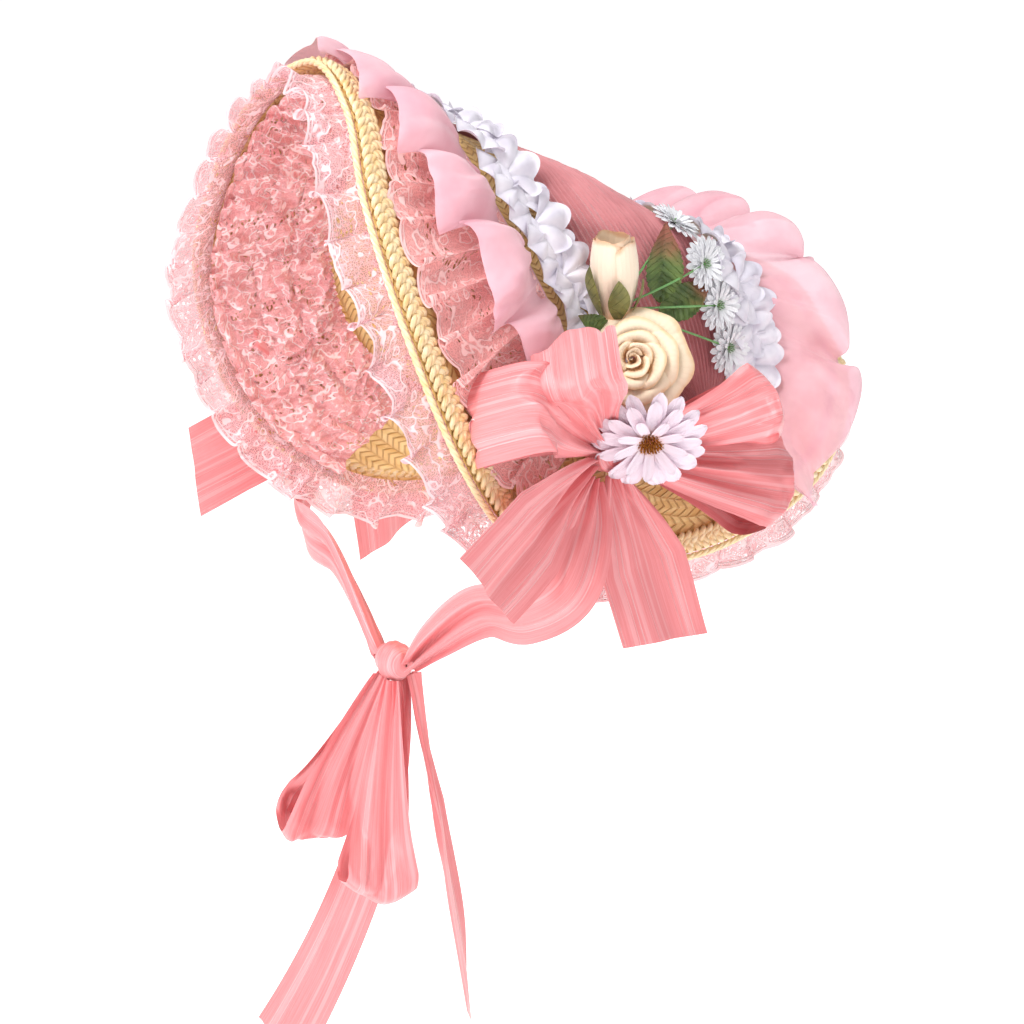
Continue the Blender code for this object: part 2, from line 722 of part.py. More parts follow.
def main():
    clear_scene()
    group = new_collection("sun_hat")
    straw = material("straw_braid", (0.75, 0.48, 0.20), 0.45)
    satin = material("white_satin", (0.80, 0.76, 0.82), 0.35)
    chiffon = material("pink_chiffon", (0.88, 0.47, 0.53), 0.75, 0.3)
    dusty = material("rose_chiffon", (0.62, 0.22, 0.24), 0.8, 0.3)
    lace = material("salmon_lace", (0.86, 0.38, 0.38), 0.85)
    ribbon = material("salmon_ribbon", (0.90, 0.32, 0.30), 0.5, 0.2)
    cream = material("cream_silk", (0.92, 0.76, 0.50), 0.7)
    green = material("leaf_green", (0.12, 0.20, 0.05), 0.6)
    lilac = material("lilac_silk", (0.80, 0.62, 0.76), 0.7)
    white = material("white_silk", (0.88, 0.88, 0.92), 0.7)
    yellow = material("daisy_yellow", (0.70, 0.38, 0.06), 0.8)
    straw_body(straw, group)
    rim_braid(straw, group)
    crown_sash(dusty, group)
    petal_trim("front_petal_trim", -FRONT_PETAL_END, FRONT_PETAL_END, satin, group)
    petal_trim("back_petal_trim", BACK_PETAL_START, 1.0 - BACK_PETAL_START, satin, group)
    chiffon_ruffle("front_ruffle", -FRONT_RUFFLE_END, FRONT_RUFFLE_END,
                   FRONT_RUFFLE_FOLDS, FRONT_RUFFLE_HEIGHT, 1.45, chiffon, group)
    chiffon_ruffle("back_ruffle", BACK_RUFFLE_START, 1.0 - BACK_RUFFLE_START,
                   BACK_RUFFLE_FOLDS, BACK_RUFFLE_HEIGHT, 1.0, chiffon, group)
    outer_lace(lace, group)
    edge_frill(lace, group)
    for row in range(LINING_ROWS):
        lining_lace(row, lace, group)
    for side in (1, -1):
        side_bow(side, ribbon, group)
        chin_strap(side, ribbon, group)
    chin_bow(ribbon, group)
    rose(cream, group)
    rosebud(cream, green, group)
    for number, (place, along, facing, share) in enumerate(LEAVES, 1):
        leaf("leaf_%d" % number, place, along, facing, share, green, group)
    daisies(lilac, white, yellow, group)


main()
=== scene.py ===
import math
from functools import partialmethod

import bpy
import numpy as np
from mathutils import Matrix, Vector


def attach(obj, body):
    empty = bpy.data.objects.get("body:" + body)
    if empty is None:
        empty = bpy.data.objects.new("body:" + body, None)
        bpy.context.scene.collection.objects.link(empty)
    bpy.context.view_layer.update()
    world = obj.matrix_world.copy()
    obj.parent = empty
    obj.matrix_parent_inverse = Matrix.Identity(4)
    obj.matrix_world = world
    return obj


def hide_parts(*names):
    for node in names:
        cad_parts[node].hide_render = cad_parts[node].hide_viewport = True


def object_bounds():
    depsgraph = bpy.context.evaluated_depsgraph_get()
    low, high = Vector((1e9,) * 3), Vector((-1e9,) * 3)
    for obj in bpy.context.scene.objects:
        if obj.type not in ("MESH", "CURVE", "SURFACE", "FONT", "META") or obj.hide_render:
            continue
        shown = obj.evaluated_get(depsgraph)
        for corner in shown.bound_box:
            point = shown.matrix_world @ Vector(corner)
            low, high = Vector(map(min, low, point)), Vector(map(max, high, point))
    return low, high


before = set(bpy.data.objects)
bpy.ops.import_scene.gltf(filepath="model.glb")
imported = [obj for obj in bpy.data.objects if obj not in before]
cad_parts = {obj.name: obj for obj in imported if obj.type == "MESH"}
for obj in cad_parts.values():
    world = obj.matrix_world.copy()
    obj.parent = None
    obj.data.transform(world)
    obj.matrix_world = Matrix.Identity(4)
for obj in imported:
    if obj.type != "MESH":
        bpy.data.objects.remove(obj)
cad_low, cad_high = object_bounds()

# View. The hat is seen as it is worn, from its left front and a little above,
# in soft studio light over a plain pale floor.
VIEW_AZIMUTH = math.radians(55.0)
VIEW_ELEVATION = math.radians(15.0)
VIEW_TARGET = Vector((0.020, -0.036, -0.173))
VIEW_DISTANCE = 1.8
VIEW_LENS = 115.0
LIGHT_TARGET = Vector((0.0, 0.0, -0.10))
ROOM_LIGHT = 0.42
FLOOR_GAP = 0.03
FLOOR_SIZE = 400.0
FLOOR_GLOW = 0.66
# light: azimuth and elevation in degrees, distance, size, watts
LIGHTS = (
    ("key_light", 15.0, 50.0, 1.7, 0.8, 26.0),
    ("fill_light", 85.0, 12.0, 2.0, 1.2, 6.0),
    ("front_light", -10.0, 4.0, 1.9, 1.0, 5.0),
    ("back_light", 200.0, 50.0, 1.8, 0.9, 6.0),
)

scene = bpy.context.scene


def way_back(azimuth, elevation):
    """From the hat towards a camera or lamp: azimuth 0 is in front of it."""
    level = math.cos(elevation)
    return Vector((math.sin(azimuth) * level, -math.cos(azimuth) * level, math.sin(elevation)))


view_back = way_back(VIEW_AZIMUTH, VIEW_ELEVATION)
camera = bpy.data.objects.new("camera", bpy.data.cameras.new("camera"))
camera.data.lens = VIEW_LENS
camera.location = VIEW_TARGET + view_back * VIEW_DISTANCE
camera.rotation_euler = view_back.to_track_quat("Z", "Y").to_euler()
scene.collection.objects.link(camera)
scene.camera = camera
scene.view_settings.view_transform = "Standard"

for light_name, azimuth, elevation, distance, size, watts in LIGHTS:
    lamp = bpy.data.lights.new(light_name, "AREA")
    lamp.energy = watts
    lamp.size = size
    light = bpy.data.objects.new(light_name, lamp)
    way = way_back(math.radians(azimuth), math.radians(elevation))
    light.location = LIGHT_TARGET + way * distance
    light.rotation_euler = way.to_track_quat("Z", "Y").to_euler()
    scene.collection.objects.link(light)

scene.world = bpy.data.worlds.new("studio")
scene.world.use_nodes = True
background = scene.world.node_tree.nodes["Background"].inputs
background["Color"].default_value = (1.0, 1.0, 1.0, 1.0)
background["Strength"].default_value = ROOM_LIGHT


def tint(red, green, blue):
    """A colour as it looks on a screen, 0 to 255, made linear."""
    linear = []
    for value in (red, green, blue):
        value /= 255.0
        linear.append(value / 12.92 if value <= 0.04045 else ((value + 0.055) / 1.055) ** 2.4)
    return (*linear, 1.0)


class Reading:
    """A number or colour that a material works out, usable in plain sums."""

    def __init__(self, finish, socket):
        self.finish = finish
        self.socket = socket

    def math(self, operation, *others):
        return self.finish.sum(operation, self, *others)

    def __rsub__(self, other):
        return self.finish.sum("SUBTRACT", other, self)

    __add__ = __radd__ = partialmethod(math, "ADD")
    __sub__ = partialmethod(math, "SUBTRACT")
    __mul__ = __rmul__ = partialmethod(math, "MULTIPLY")
    __truediv__ = partialmethod(math, "DIVIDE")
    __pow__ = partialmethod(math, "POWER")
    __abs__ = partialmethod(math, "ABSOLUTE")
    fraction = partialmethod(math, "FRACT")
    whole = partialmethod(math, "FLOOR")
    wave = partialmethod(math, "SINE")
    least = partialmethod(math, "MINIMUM")
    most = partialmethod(math, "MAXIMUM")

    def step(self, start, end):
        """0 below start, 1 above end and a soft step between. Start may be the larger."""
        return self.finish.node(
            "ShaderNodeMapRange",
            {"interpolation_type": "SMOOTHSTEP"},
            {"Value": self, "From Min": start, "From Max": end},
        )


class Finish:
    """One material and the nodes that make it."""

    def __init__(self, name):
        self.material = bpy.data.materials.new(name)
        self.material.use_nodes = True
        self.tree = self.material.node_tree
        self.shader = self.tree.nodes["Principled BSDF"]

    def node(self, kind, settings=None, sockets=None, output=0):
        """A node of a kind, with its settings first and then its sockets."""
        made = self.tree.nodes.new(kind)
        for key, value in (settings or {}).items():
            setattr(made, key, value)
        for key, value in (sockets or {}).items():
            if isinstance(value, Reading):
                self.tree.links.new(value.socket, made.inputs[key])
            else:
                made.inputs[key].default_value = value
        return Reading(self, made.outputs[output])

    def sum(self, operation, *values):
        return self.node("ShaderNodeMath", {"operation": operation}, dict(enumerate(values)))

    def place(self):
        """The point on the object, in metres."""
        return self.node("ShaderNodeTexCoord", output=3)

    def lengths(self):
        """Metres along and across the cloth, read from the UV map."""
        both = self.node("ShaderNodeUVMap", {"uv_map": "UVMap"})
        along = self.node("ShaderNodeSeparateXYZ", sockets={0: both}, output=0)
        across = self.node("ShaderNodeSeparateXYZ", sockets={0: both}, output=1)
        return along, across

    def vector(self, x, y, z=0.0):
        return self.node("ShaderNodeCombineXYZ", sockets={0: x, 1: y, 2: z})

    def noise(self, where, scale, detail=3.0, roughness=0.5):
        return self.node(
            "ShaderNodeTexNoise",
            sockets={"Vector": where, "Scale": scale, "Detail": detail, "Roughness": roughness},
        )

    def cells(self, where, scale, feature, randomness):
        return self.node(
            "ShaderNodeTexVoronoi",
            {"feature": feature},
            {"Vector": where, "Scale": scale, "Randomness": randomness},
        )

    def mix(self, share, one, other):
        """A colour between two others."""
        return self.node("ShaderNodeMix", {"data_type": "RGBA"}, {0: share, 6: one, 7: other}, 2)

    def bump(self, height, depth, strength=1.0):
        """A normal from a height of 0 to 1 that stands depth metres."""
        sockets = {"Strength": strength, "Distance": depth, "Height": height}
        return self.node("ShaderNodeBump", sockets=sockets)

    def paint(self, **sockets):
        """Set the shader's own sockets: Base_Color=..., Roughness=... and so on."""
        for key, value in sockets.items():
            socket = self.shader.inputs[key.replace("_", " ")]
            if isinstance(value, Reading):
                self.tree.links.new(value.socket, socket)
            else:
                socket.default_value = value
        return self


floor_mesh = bpy.data.meshes.new("floor")
half = FLOOR_SIZE * 0.5
level = cad_low[2] - FLOOR_GAP
floor_mesh.from_pydata(
    [(-half, -half, level), (half, -half, level), (half, half, level), (-half, half, level)],
    [],
    [(0, 1, 2, 3)],
)
floor = bpy.data.objects.new("floor", floor_mesh)
scene.collection.objects.link(floor)
floor_finish = Finish("pale_floor")
floor_cloud = floor_finish.noise(floor_finish.place(), 1.5)
floor_colour = floor_finish.mix(floor_cloud, tint(250, 249, 249), tint(253, 252, 252))
floor_finish.paint(
    Base_Color=floor_colour,
    Roughness=0.9,
    Emission_Color=floor_colour,
    Emission_Strength=FLOOR_GLOW,
)
floor_mesh.materials.append(floor_finish.material)


# Straw body. Crown and brim are one shell of glazed straw plait, 9 mm wide,
# sewn in rows that lap each other like shingles and pressed to a saddle.
STRAW_WALL = 0.0022
CROWN_HALF_WIDTH = 0.088
CROWN_LENGTH = 0.150
CROWN_DROP = 0.154
CROWN_BULGE = 0.007
BRIM_REACH = 0.120
CROWN_FRONT_TOP = 0.042
CROWN_FRONT = 0.075
PLAIT_ROW = 0.0092
PLAIT_LAP = 0.0007
PLAIT_STRAND = 0.0046
# Sections of the straw from the front top over the wearer's left ear to the
# back top. Ring is where crown and brim meet and reach is the way to the rim.
#    ring: across, along,  down   reach: across, along,  up
SECTIONS = (
    (0.000, 0.000, 0.000, 0.000, -0.583, 0.317),
    (0.511, 0.067, 0.058, -0.008, -0.725, 0.225),
    (0.705, 0.153, 0.221, 0.100, -0.908, 0.083),
    (0.830, 0.247, 0.416, 0.275, -1.000, -0.175),
    (0.909, 0.340, 0.597, 0.317, -0.908, -0.517),
    (0.966, 0.473, 0.805, 0.225, -0.758, -0.633),
    (1.000, 0.673, 0.961, 0.133, -0.542, -0.650),
    (1.000, 0.820, 0.961, 0.125, -0.020, -0.650),
    (0.977, 0.920, 0.818, 0.083, 0.455, -0.617),
    (0.966, 0.890, 0.623, -0.008, 0.745, -0.508),
    (0.864, 0.803, 0.429, -0.083, 0.805, -0.467),
    (0.477, 0.790, 0.396, -0.050, 0.885, -0.392),
    (0.000, 0.790, 0.390, 0.000, 0.905, -0.350),
)
EAR = 6.5 / 24.0


def straw_sections():
    """Ring points and reaches all round the hat, in metres."""
    half_way = np.array(SECTIONS)
    mirror = half_way[-2:0:-1] * np.array((-1.0, 1.0, 1.0, -1.0, 1.0, 1.0))
    shares = np.vstack((half_way, mirror))
    size = np.array((CROWN_HALF_WIDTH, CROWN_LENGTH, -CROWN_DROP, *(BRIM_REACH,) * 3))
    shift = np.array((0.0, -CROWN_FRONT, CROWN_FRONT_TOP, 0.0, 0.0, 0.0))
    return shares * size + shift


ROUND = straw_sections()


def between(a, b, c, d, share):
    """A share of the way from b to c on the smooth curve through all four."""
    return 0.5 * (
        2.0 * b
        + (c - a) * share
        + (2.0 * a - 5.0 * b + 4.0 * c - d) * share**2
        + (3.0 * b - a - 3.0 * c + d) * share**3
    )


def ring_and_reach(turn):
    """Ring points and reaches at shares of the whole turn round the hat."""
    place = np.asarray(turn, float) * len(ROUND)
    first = np.floor(place).astype(int)
    points = [ROUND[(first + step) % len(ROUND)] for step in (-1, 0, 1, 2)]
    both = between(*points, (place - first)[..., None])
    return both[..., :3], both[..., 3:]


def brim(turn, out):
    """Upper face of the brim: out is 0 at the ring and 1 at the rim."""
    ring, reach = ring_and_reach(turn)
    return ring + reach * np.asarray(out, float)[..., None]


def crown(across, back):
    """Upper face of the crown, from ear to ear and from front to back."""
    across = np.asarray(across, float)
    share = np.asarray(back, float)[..., None]
    front_point = ring_and_reach(across * EAR)[0]
    back_point = ring_and_reach(0.5 - across * (0.5 - EAR))[0]
    point = front_point * (1.0 - share) + back_point * share
    away = point - np.array((0.0, 0.0, CROWN_FRONT_TOP - CROWN_DROP * 0.6))
    away /= np.linalg.norm(away, axis=-1, keepdims=True)
    swell = np.sin(math.pi * share[..., 0]) * np.sqrt(np.clip(1.0 - across**2, 0.0, 1.0))
    return point + away * (CROWN_BULGE * swell)[..., None]


def unit(vectors):
    return vectors / np.maximum(np.linalg.norm(vectors, axis=-1, keepdims=True), 1e-9)


def away_from_head(surface, a, b, step=0.004):
    """Outward unit normals of a surface function."""
    along = surface(a + step, b) - surface(a - step, b)
    over = surface(a, b + step) - surface(a, b - step)
    normal = unit(np.cross(along, over))
    middle = np.array((0.0, 0.0, -CROWN_DROP * 0.5))
    inner = surface(a, np.full_like(b, 0.3)) - middle
    sign = np.where((normal * inner).sum(axis=-1) < 0.0, -1.0, 1.0)
    return normal * sign[..., None]


def lifted(surface, a, b, height):
    """Points at heights over a surface function."""
    a, b, height = np.broadcast_arrays(np.asarray(a, float), b, height)
    return surface(a, b) + away_from_head(surface, a, b) * height[..., None]


def reach_length(turn):
    return np.linalg.norm(ring_and_reach(turn)[1], axis=-1)


def grid_of(rows, columns):
    """Shares from 0 to 1 down the rows and along the columns."""
    return np.meshgrid(np.linspace(0.0, 1.0, rows), np.linspace(0.0, 1.0, columns), indexing="ij")


def leaned_grid(rows, columns):
    """Shares from 0 to 1 down the rows, and from -1 to 1 along the columns."""
    down, along = grid_of(rows, columns)
    return down, along * 2.0 - 1.0


def run_length(steps):
    """Metres gone at each point of a line, from the steps between its points."""
    return np.concatenate(((0.0,), np.cumsum(steps)))


def step_lengths(points, axis=0):
    """Metres between neighbours along one axis of a line or grid of points."""
    return np.linalg.norm(np.diff(points, axis=axis), axis=-1)


def metres(points):
    """Metres along the rows and down the columns of a grid of points."""
    along = run_length(step_lengths(points, 1).mean(axis=0))
    drops = np.cumsum(step_lengths(points), axis=0)
    down = np.vstack((np.zeros((1, points.shape[1])), drops))
    return np.broadcast_to(along, down.shape), down


def flat_cut(grids, width):
    """The flat size of a strip that was cut to one width: width and length."""
    area = 0.0
    for points in grids:
        a = points[1:, 1:] - points[:-1, :-1]
        b = points[1:, :-1] - points[:-1, 1:]
        area += 0.5 * np.linalg.norm(np.cross(a, b), axis=2).sum()
    return width, float(area / width)


def piece(name, grids, finish, nodes="", width=0.0, cut=None):
    """One object from grids of points, which stands for the named nodes. For a
    width, the flat size of a sheet cut to that width is worked out but not
    kept. Its UV map holds metres along and across, measured on the grid or
    shared out over a cut size, and each grid starts at its own whole number so
    that its grain differs."""
    verts, faces, places, base = [], [], [], 0
    for number, points in enumerate(grids):
        rows, columns = points.shape[:2]
        index = base + np.arange(rows * columns).reshape(rows, columns)
        quads = (index[:-1, :-1], index[:-1, 1:], index[1:, 1:], index[1:, :-1])
        faces.append(np.stack([part.ravel() for part in quads], axis=1))
        along, down = metres(points)
        if cut:
            down, along = grid_of(rows, columns)
            along, down = along * cut[0], down * cut[1]
        places.append(np.stack((along + number, down), axis=2).reshape(-1, 2))
        verts.append(points.reshape(-1, 3))
        base += rows * columns
    faces = np.vstack(faces)
    mesh = bpy.data.meshes.new(name)
    mesh.from_pydata(np.vstack(verts).tolist(), [], faces.tolist())
    layer = mesh.uv_layers.new(name="UVMap")
    layer.data.foreach_set("uv", np.vstack(places)[faces.ravel()].ravel())
    mesh.shade_smooth()
    mesh.materials.append(finish.material)
    made = bpy.data.objects.new(name, mesh)
    scene.collection.objects.link(made)
    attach(made, "root")
    if nodes:
        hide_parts(*nodes.split())
    if width:
        flat_cut(grids, width)


def straw_glaze(name, light, dark):
    """Glazed plait: strands slant to each row's middle, each its own shade."""
    finish = Finish(name)
    along, across = finish.lengths()
    rows = across / PLAIT_ROW
    edge = abs(rows.fraction() * 2.0 - 1.0)
    strands = along / PLAIT_STRAND + edge * 0.9
    number = strands.whole() + rows.whole() * 7.0
    strand = (strands.fraction() * math.pi).wave()
    shade = finish.node("ShaderNodeTexWhiteNoise", {"noise_dimensions": "1D"}, {"W": number})
    fibre = finish.noise(finish.vector(along * 1.0, across * 9.0), 700.0, 2.0)
    depth = (strand * 1.6).least(1.0) * (1.0 - edge**6.0 * 0.8)
    colour = finish.mix(shade * 0.6 + fibre * 0.35, dark, light)
    # Painted shade: the colour deepens towards brown where the plait lies low, in the grooves
    # between strands and at the edges of the rows.
    colour = finish.mix((1.0 - depth) * 0.60, colour, tint(198, 142, 74))
    height = depth + fibre * 0.12
    finish.paint(
        Base_Color=colour,
        Roughness=0.30 + fibre * 0.2,
        Normal=finish.bump(height, 0.0007),
        Coat_Weight=0.25,
    )
    return finish


straw_finish = straw_glaze("glazed_straw", tint(255, 230, 166), tint(240, 196, 120))


def straw_shell():
    """Brim and crown as two grids with the rows of plait standing out."""
    down, round_ = grid_of(90, 260)
    turn = 0.5 + round_
    rows = down * reach_length(turn).mean() / PLAIT_ROW
    lap = PLAIT_LAP * (rows % 1.0) - STRAW_WALL * 0.5
    brim_grid = lifted(brim, turn, down, lap)
    down, round_ = grid_of(90, 150)
    rows = down * CROWN_LENGTH / PLAIT_ROW
    lap = PLAIT_LAP * (rows % 1.0) - STRAW_WALL * 0.5
    crown_grid = lifted(crown, (round_ * 2.0 - 1.0) * 0.999, down * 0.998 + 0.001, lap)
    return [brim_grid, crown_grid]


piece("straw_plait", straw_shell(), straw_finish, "straw_body")


# Rim. The last row of straw lies bare as one broad plait of glossy strands,
# and a thin twisted straw cord binds the edge all round.
RIM_CORD_RADIUS = 0.003
SEAM_GAP = 0.0008
BARE_EDGE = 0.012
RIM_PLAIT_WIDTH = 0.0125
RIM_PLAIT_PERIOD = 0.0165
RIM_PLAIT_HEIGHT = 0.0016
RIM_PLAIT_FIBRES = 2
RIM_POINTS = 1100
CORD_TWIST = 0.0150


def round_the_rim(count):
    """Turns at even lengths round the brim, and those lengths, from the back."""
    fine = 0.5 + np.linspace(0.0, 1.0, 1200)
    length = run_length(step_lengths(brim(fine, np.ones_like(fine))))
    even = np.linspace(0.0, length[-1], count)
    return np.interp(even, length, fine), even


def tube(path, up, wide, high, sides=6):
    """An oval strand along a path, wide across and high along up."""
    ahead = unit(np.gradient(path, axis=0))
    side = unit(np.cross(ahead, up))
    top = np.cross(side, ahead)
    angle = np.linspace(0.0, 2.0 * math.pi, sides + 1)[:, None, None]
    return path + side * np.cos(angle) * wide + top * np.sin(angle) * high


def rim_plait():
    """Three broad strands of two straws each, plaited along the bare edge."""
    turn, length = round_the_rim(RIM_POINTS)
    up = away_from_head(brim, turn, np.full(RIM_POINTS, 0.9))
    reach = reach_length(turn)
    periods = round(length[-1] / RIM_PLAIT_PERIOD)
    strands = []
    for strand in range(3):
        phase = 2.0 * math.pi * (periods * length / length[-1] + strand / 3.0)
        for fibre in range(RIM_PLAIT_FIBRES):
            beside = (fibre - 0.5 * (RIM_PLAIT_FIBRES - 1)) * RIM_PLAIT_WIDTH * 0.20
            across = 0.30 * RIM_PLAIT_WIDTH * np.sin(phase) + beside
            height = RIM_PLAIT_HEIGHT * (1.0 + 0.9 * np.sin(2.0 * phase))
            offset = RIM_PLAIT_WIDTH * 0.53 + across
            path = brim(turn, 1.0 - offset / reach) + up * height[:, None]
            strands.append(tube(path, up, RIM_PLAIT_WIDTH * 0.140, RIM_PLAIT_HEIGHT * 0.95))
    return strands


def rim_cord():
    """Three strands twisted round the line just past the rim."""
    turn, length = round_the_rim(RIM_POINTS)
    ring, reach = ring_and_reach(turn)
    up = away_from_head(brim, turn, np.full(RIM_POINTS, 0.9))
    out = unit(reach)
    centre = ring + reach + out * (RIM_CORD_RADIUS + SEAM_GAP) - up * STRAW_WALL * 0.5
    twists = round(length[-1] / CORD_TWIST)
    strands = []
    for strand in range(3):
        phase = 2.0 * math.pi * (twists * length / length[-1] + strand / 3.0)
        swing = out * np.cos(phase)[:, None] + up * np.sin(phase)[:, None]
        path = centre - out * RIM_CORD_RADIUS * 0.45 + swing * RIM_CORD_RADIUS * 0.28
        strands.append(tube(path, up, RIM_CORD_RADIUS * 0.36, RIM_CORD_RADIUS * 0.36))
    return strands


def strand_glaze(name, light, dark):
    """One glossy straw strand with fine lengthwise fibres."""
    finish = Finish(name)
    along, across = finish.lengths()
    fibre = finish.noise(finish.vector(along * 60.0, across * 2200.0), 1.0, 3.0)
    patch = finish.noise(finish.vector(along, along * 0.0), 140.0, 2.0)
    colour = finish.mix((fibre * 0.5 + patch * 0.7).step(0.35, 0.85), dark, light)
    finish.paint(
        Base_Color=colour,
        Roughness=0.24 + fibre * 0.16,
        Normal=finish.bump(fibre, 0.0003),
        Coat_Weight=0.35,
    )
    return finish


strand_finish = strand_glaze("straw_strand", tint(255, 241, 206), tint(232, 184, 108))
cord_finish = strand_glaze("cord_strand", tint(255, 242, 208), tint(244, 210, 144))
piece("rim_plait", rim_plait(), strand_finish)
piece("rim_cord", rim_cord(), cord_finish, "rim_braid")


# Crown sash. Thin dusty rose chiffon, laid in fine knife pleats from ear to
# ear and drawn over the crown between the two petal trims.
SASH_WIDTH = 0.26
SASH_HEIGHT = 0.0020
SASH_PLEAT = 0.0054
SASH_PLEAT_DEPTH = 0.0030
CHIFFON_THREAD = 0.00055

LATTICE = np.random.default_rng(8).uniform(-1.0, 1.0, (64, 64))


def rumple(x, y, seed=0):
    """Smooth seeded noise between -1 and 1, with one bump to a unit."""
    x, y = np.broadcast_arrays(np.asarray(x, float) + 7.3 * seed, np.asarray(y, float) + 3.1 * seed)
    left, low = np.floor(x).astype(int), np.floor(y).astype(int)
    a, b = x - left, y - low
    a, b = a * a * (3.0 - 2.0 * a), b * b * (3.0 - 2.0 * b)
    near, far = (
        LATTICE[left % 64, side % 64] * (1.0 - a) + LATTICE[(left + 1) % 64, side % 64] * a
        for side in (low, low + 1)
    )
    return near * (1.0 - b) + far * b


def creases(x, y, seed=0):
    """Sharp-ridged folds between 0 and 1, with wandering ridges."""
    bent = x + 0.9 * rumple(x * 0.6, y * 0.6, seed + 1)
    return (1.0 - np.abs(rumple(bent, y, seed))) ** 2.0


def sash_cloth():
    down, along = grid_of(320, 76)
    across = (2.0 * along - 1.0) * 0.93
    wander = 0.020 * rumple(along * 5.0, down * 3.0, 1)
    wander = wander + 0.006 * rumple(along * 14.0, down * 22.0, 2)
    pleats = (down + wander) * CROWN_LENGTH / SASH_PLEAT
    fold = pleats % 1.0
    roll = np.where(fold < 0.18, fold / 0.18, ((1.0 - fold) / 0.82) ** 1.4)
    depth = SASH_PLEAT_DEPTH * (0.75 + 0.35 * rumple(np.floor(pleats) * 0.7, along * 4.0, 3))
    height = SASH_HEIGHT + depth * roll
    return lifted(crown, across, 0.05 + 0.90 * down, height)


def chiffon(name, light, deep, sheer=1.0):
    """Crepe chiffon: a fine even weave with soft cloudy shading."""
    finish = Finish(name)
    along, across = finish.lengths()
    warp = (along * (2.0 * math.pi / CHIFFON_THREAD)).wave()
    weft = (across * (2.0 * math.pi / CHIFFON_THREAD)).wave()
    weave = warp * weft * 0.5 + 0.5
    cloud = finish.noise(finish.place(), 38.0, 3.0)
    crinkle = finish.noise(finish.vector(along, across), 420.0, 3.0)
    colour = finish.mix(cloud.step(0.3, 0.7), deep, light)
    colour = finish.mix(weave * 0.10, colour, (1.0, 1.0, 1.0, 1.0))
    finish.paint(
        Base_Color=colour,
        Roughness=0.72 + crinkle * 0.1,
        Normal=finish.bump(weave * 0.5 + crinkle * 0.8, 0.0003, 0.6),
        Sheen_Weight=0.35,
        Sheen_Roughness=0.5,
        # Painted glow: the chiffon gives off a little light in its own colour, standing in for
        # light shining through the thin cloth.
        Emission_Color=colour,
        Emission_Strength=0.08,
        Alpha=sheer,
    )
    return finish


sash_finish = chiffon("dusty_rose_chiffon", tint(206, 128, 132), tint(182, 102, 107))
piece("pleated_sash", [sash_cloth()], sash_finish, "crown_sash", SASH_WIDTH)


# Petal trims. White satin ribbon is drawn up into puffed, ribbed shells that
# lap each other in two staggered lines, along the front and back of the crown.
PETAL_OUT = 0.003
PETAL_WIDTH = 0.023
SATIN_WIDTH = 0.040
SATIN_RIB = 0.0005
SHELL_PITCH = 0.0150
CROWN_SHELL = 0.0200
RIM_SHELL = 0.0190
SEAM_HEIGHT = 0.0015
FRONT_PETAL_END = 0.195
BACK_PETAL_START = 0.325


def satin_shell(base, way, side, up, size, number):
    """Ribbon drawn up at its foot and puffed, so that ribs fan out from there
    to a rolled lip."""
    down, lean = leaned_grid(18, 45)
    fan = lean * (1.22 + 0.12 * math.sin(number * 1.9)) + 0.18 * math.sin(number * 2.3)
    ribs = np.abs(np.cos(fan * 3.4 + number * 1.3 + 0.4 * down)) * 2.0 - 1.0
    puff = np.sin(math.pi * np.minimum(0.04 + down * 0.80, 1.0)) ** 0.7
    lip = np.maximum(down - 0.84, 0.0) / 0.16
    gone = size * down * (1.0 + 0.06 * ribs * down - 0.12 * lean**4) - size * 0.05 * lip**2
    height = 0.04 + 0.30 * puff * (1.0 - 0.40 * lean**2) + 0.095 * ribs * down**0.6
    height = height + 0.16 * lip**2 * (0.6 + 0.4 * ribs)
    return (
        base
        + way * (gone * np.cos(fan))[..., None]
        + side * (gone * np.sin(fan))[..., None]
        + up * (size * height)[..., None]
    )


def shell_rows(start, end):
    """Shells by turns towards the crown and towards the rim along the seam."""
    fine = np.linspace(start, end, 400)
    seam = brim(fine, (PETAL_OUT + PETAL_WIDTH * 0.5) / reach_length(fine))
    length = run_length(step_lengths(seam))
    count = int(2.0 * length[-1] / SHELL_PITCH)
    turns = np.interp((np.arange(count) + 0.5) * length[-1] / count, length, fine)
    out = (PETAL_OUT + PETAL_WIDTH * 0.5) / reach_length(turns)
    bases = lifted(brim, turns, out, SEAM_HEIGHT)
    ups = away_from_head(brim, turns, out)
    ahead = unit(brim(turns + 0.004, out) - brim(turns - 0.004, out))
    outs = np.cross(ups, ahead)
    outs = outs * np.sign((outs * ring_and_reach(turns)[1]).sum(axis=1))[:, None]
    shells = []
    for number in range(count):
        size, toward = ((CROWN_SHELL, -1.0), (RIM_SHELL, 1.0))[number % 2]
        size = size * (1.0 + 0.09 * math.sin(number * 1.7))
        turned = 0.30 * math.sin(number * 2.7)
        way = outs[number] * toward * math.cos(turned) + ahead[number] * math.sin(turned)
        side = np.cross(ups[number], way)
        lift = ups[number] * (0.0004 + 0.0016 * (number // 2 % 2))
        start_point = bases[number] - way * size * 0.12 + lift
        shells.append(satin_shell(start_point, way, side, ups[number], size, number))
    return shells


def satin(name, light, deep):
    """Smooth satin ribbon with fine ribs and a soft shine."""
    finish = Finish(name)
    across = finish.lengths()[1]
    rib = (across * (2.0 * math.pi / SATIN_RIB)).wave() * 0.5 + 0.5
    cloud = finish.noise(finish.place(), 90.0, 2.0)
    finish.paint(
        Base_Color=finish.mix(cloud.step(0.25, 0.75), deep, light),
        Roughness=0.24 + cloud * 0.12,
        Normal=finish.bump(rib * 0.3 + cloud, 0.0004, 0.7),
        Coat_Weight=0.2,
        Coat_Roughness=0.25,
        # Painted glow: the satin gives off a little light in its pale colour, lifting its shaded
        # parts.
        Emission_Color=light,
        Emission_Strength=0.10,
    )
    return finish


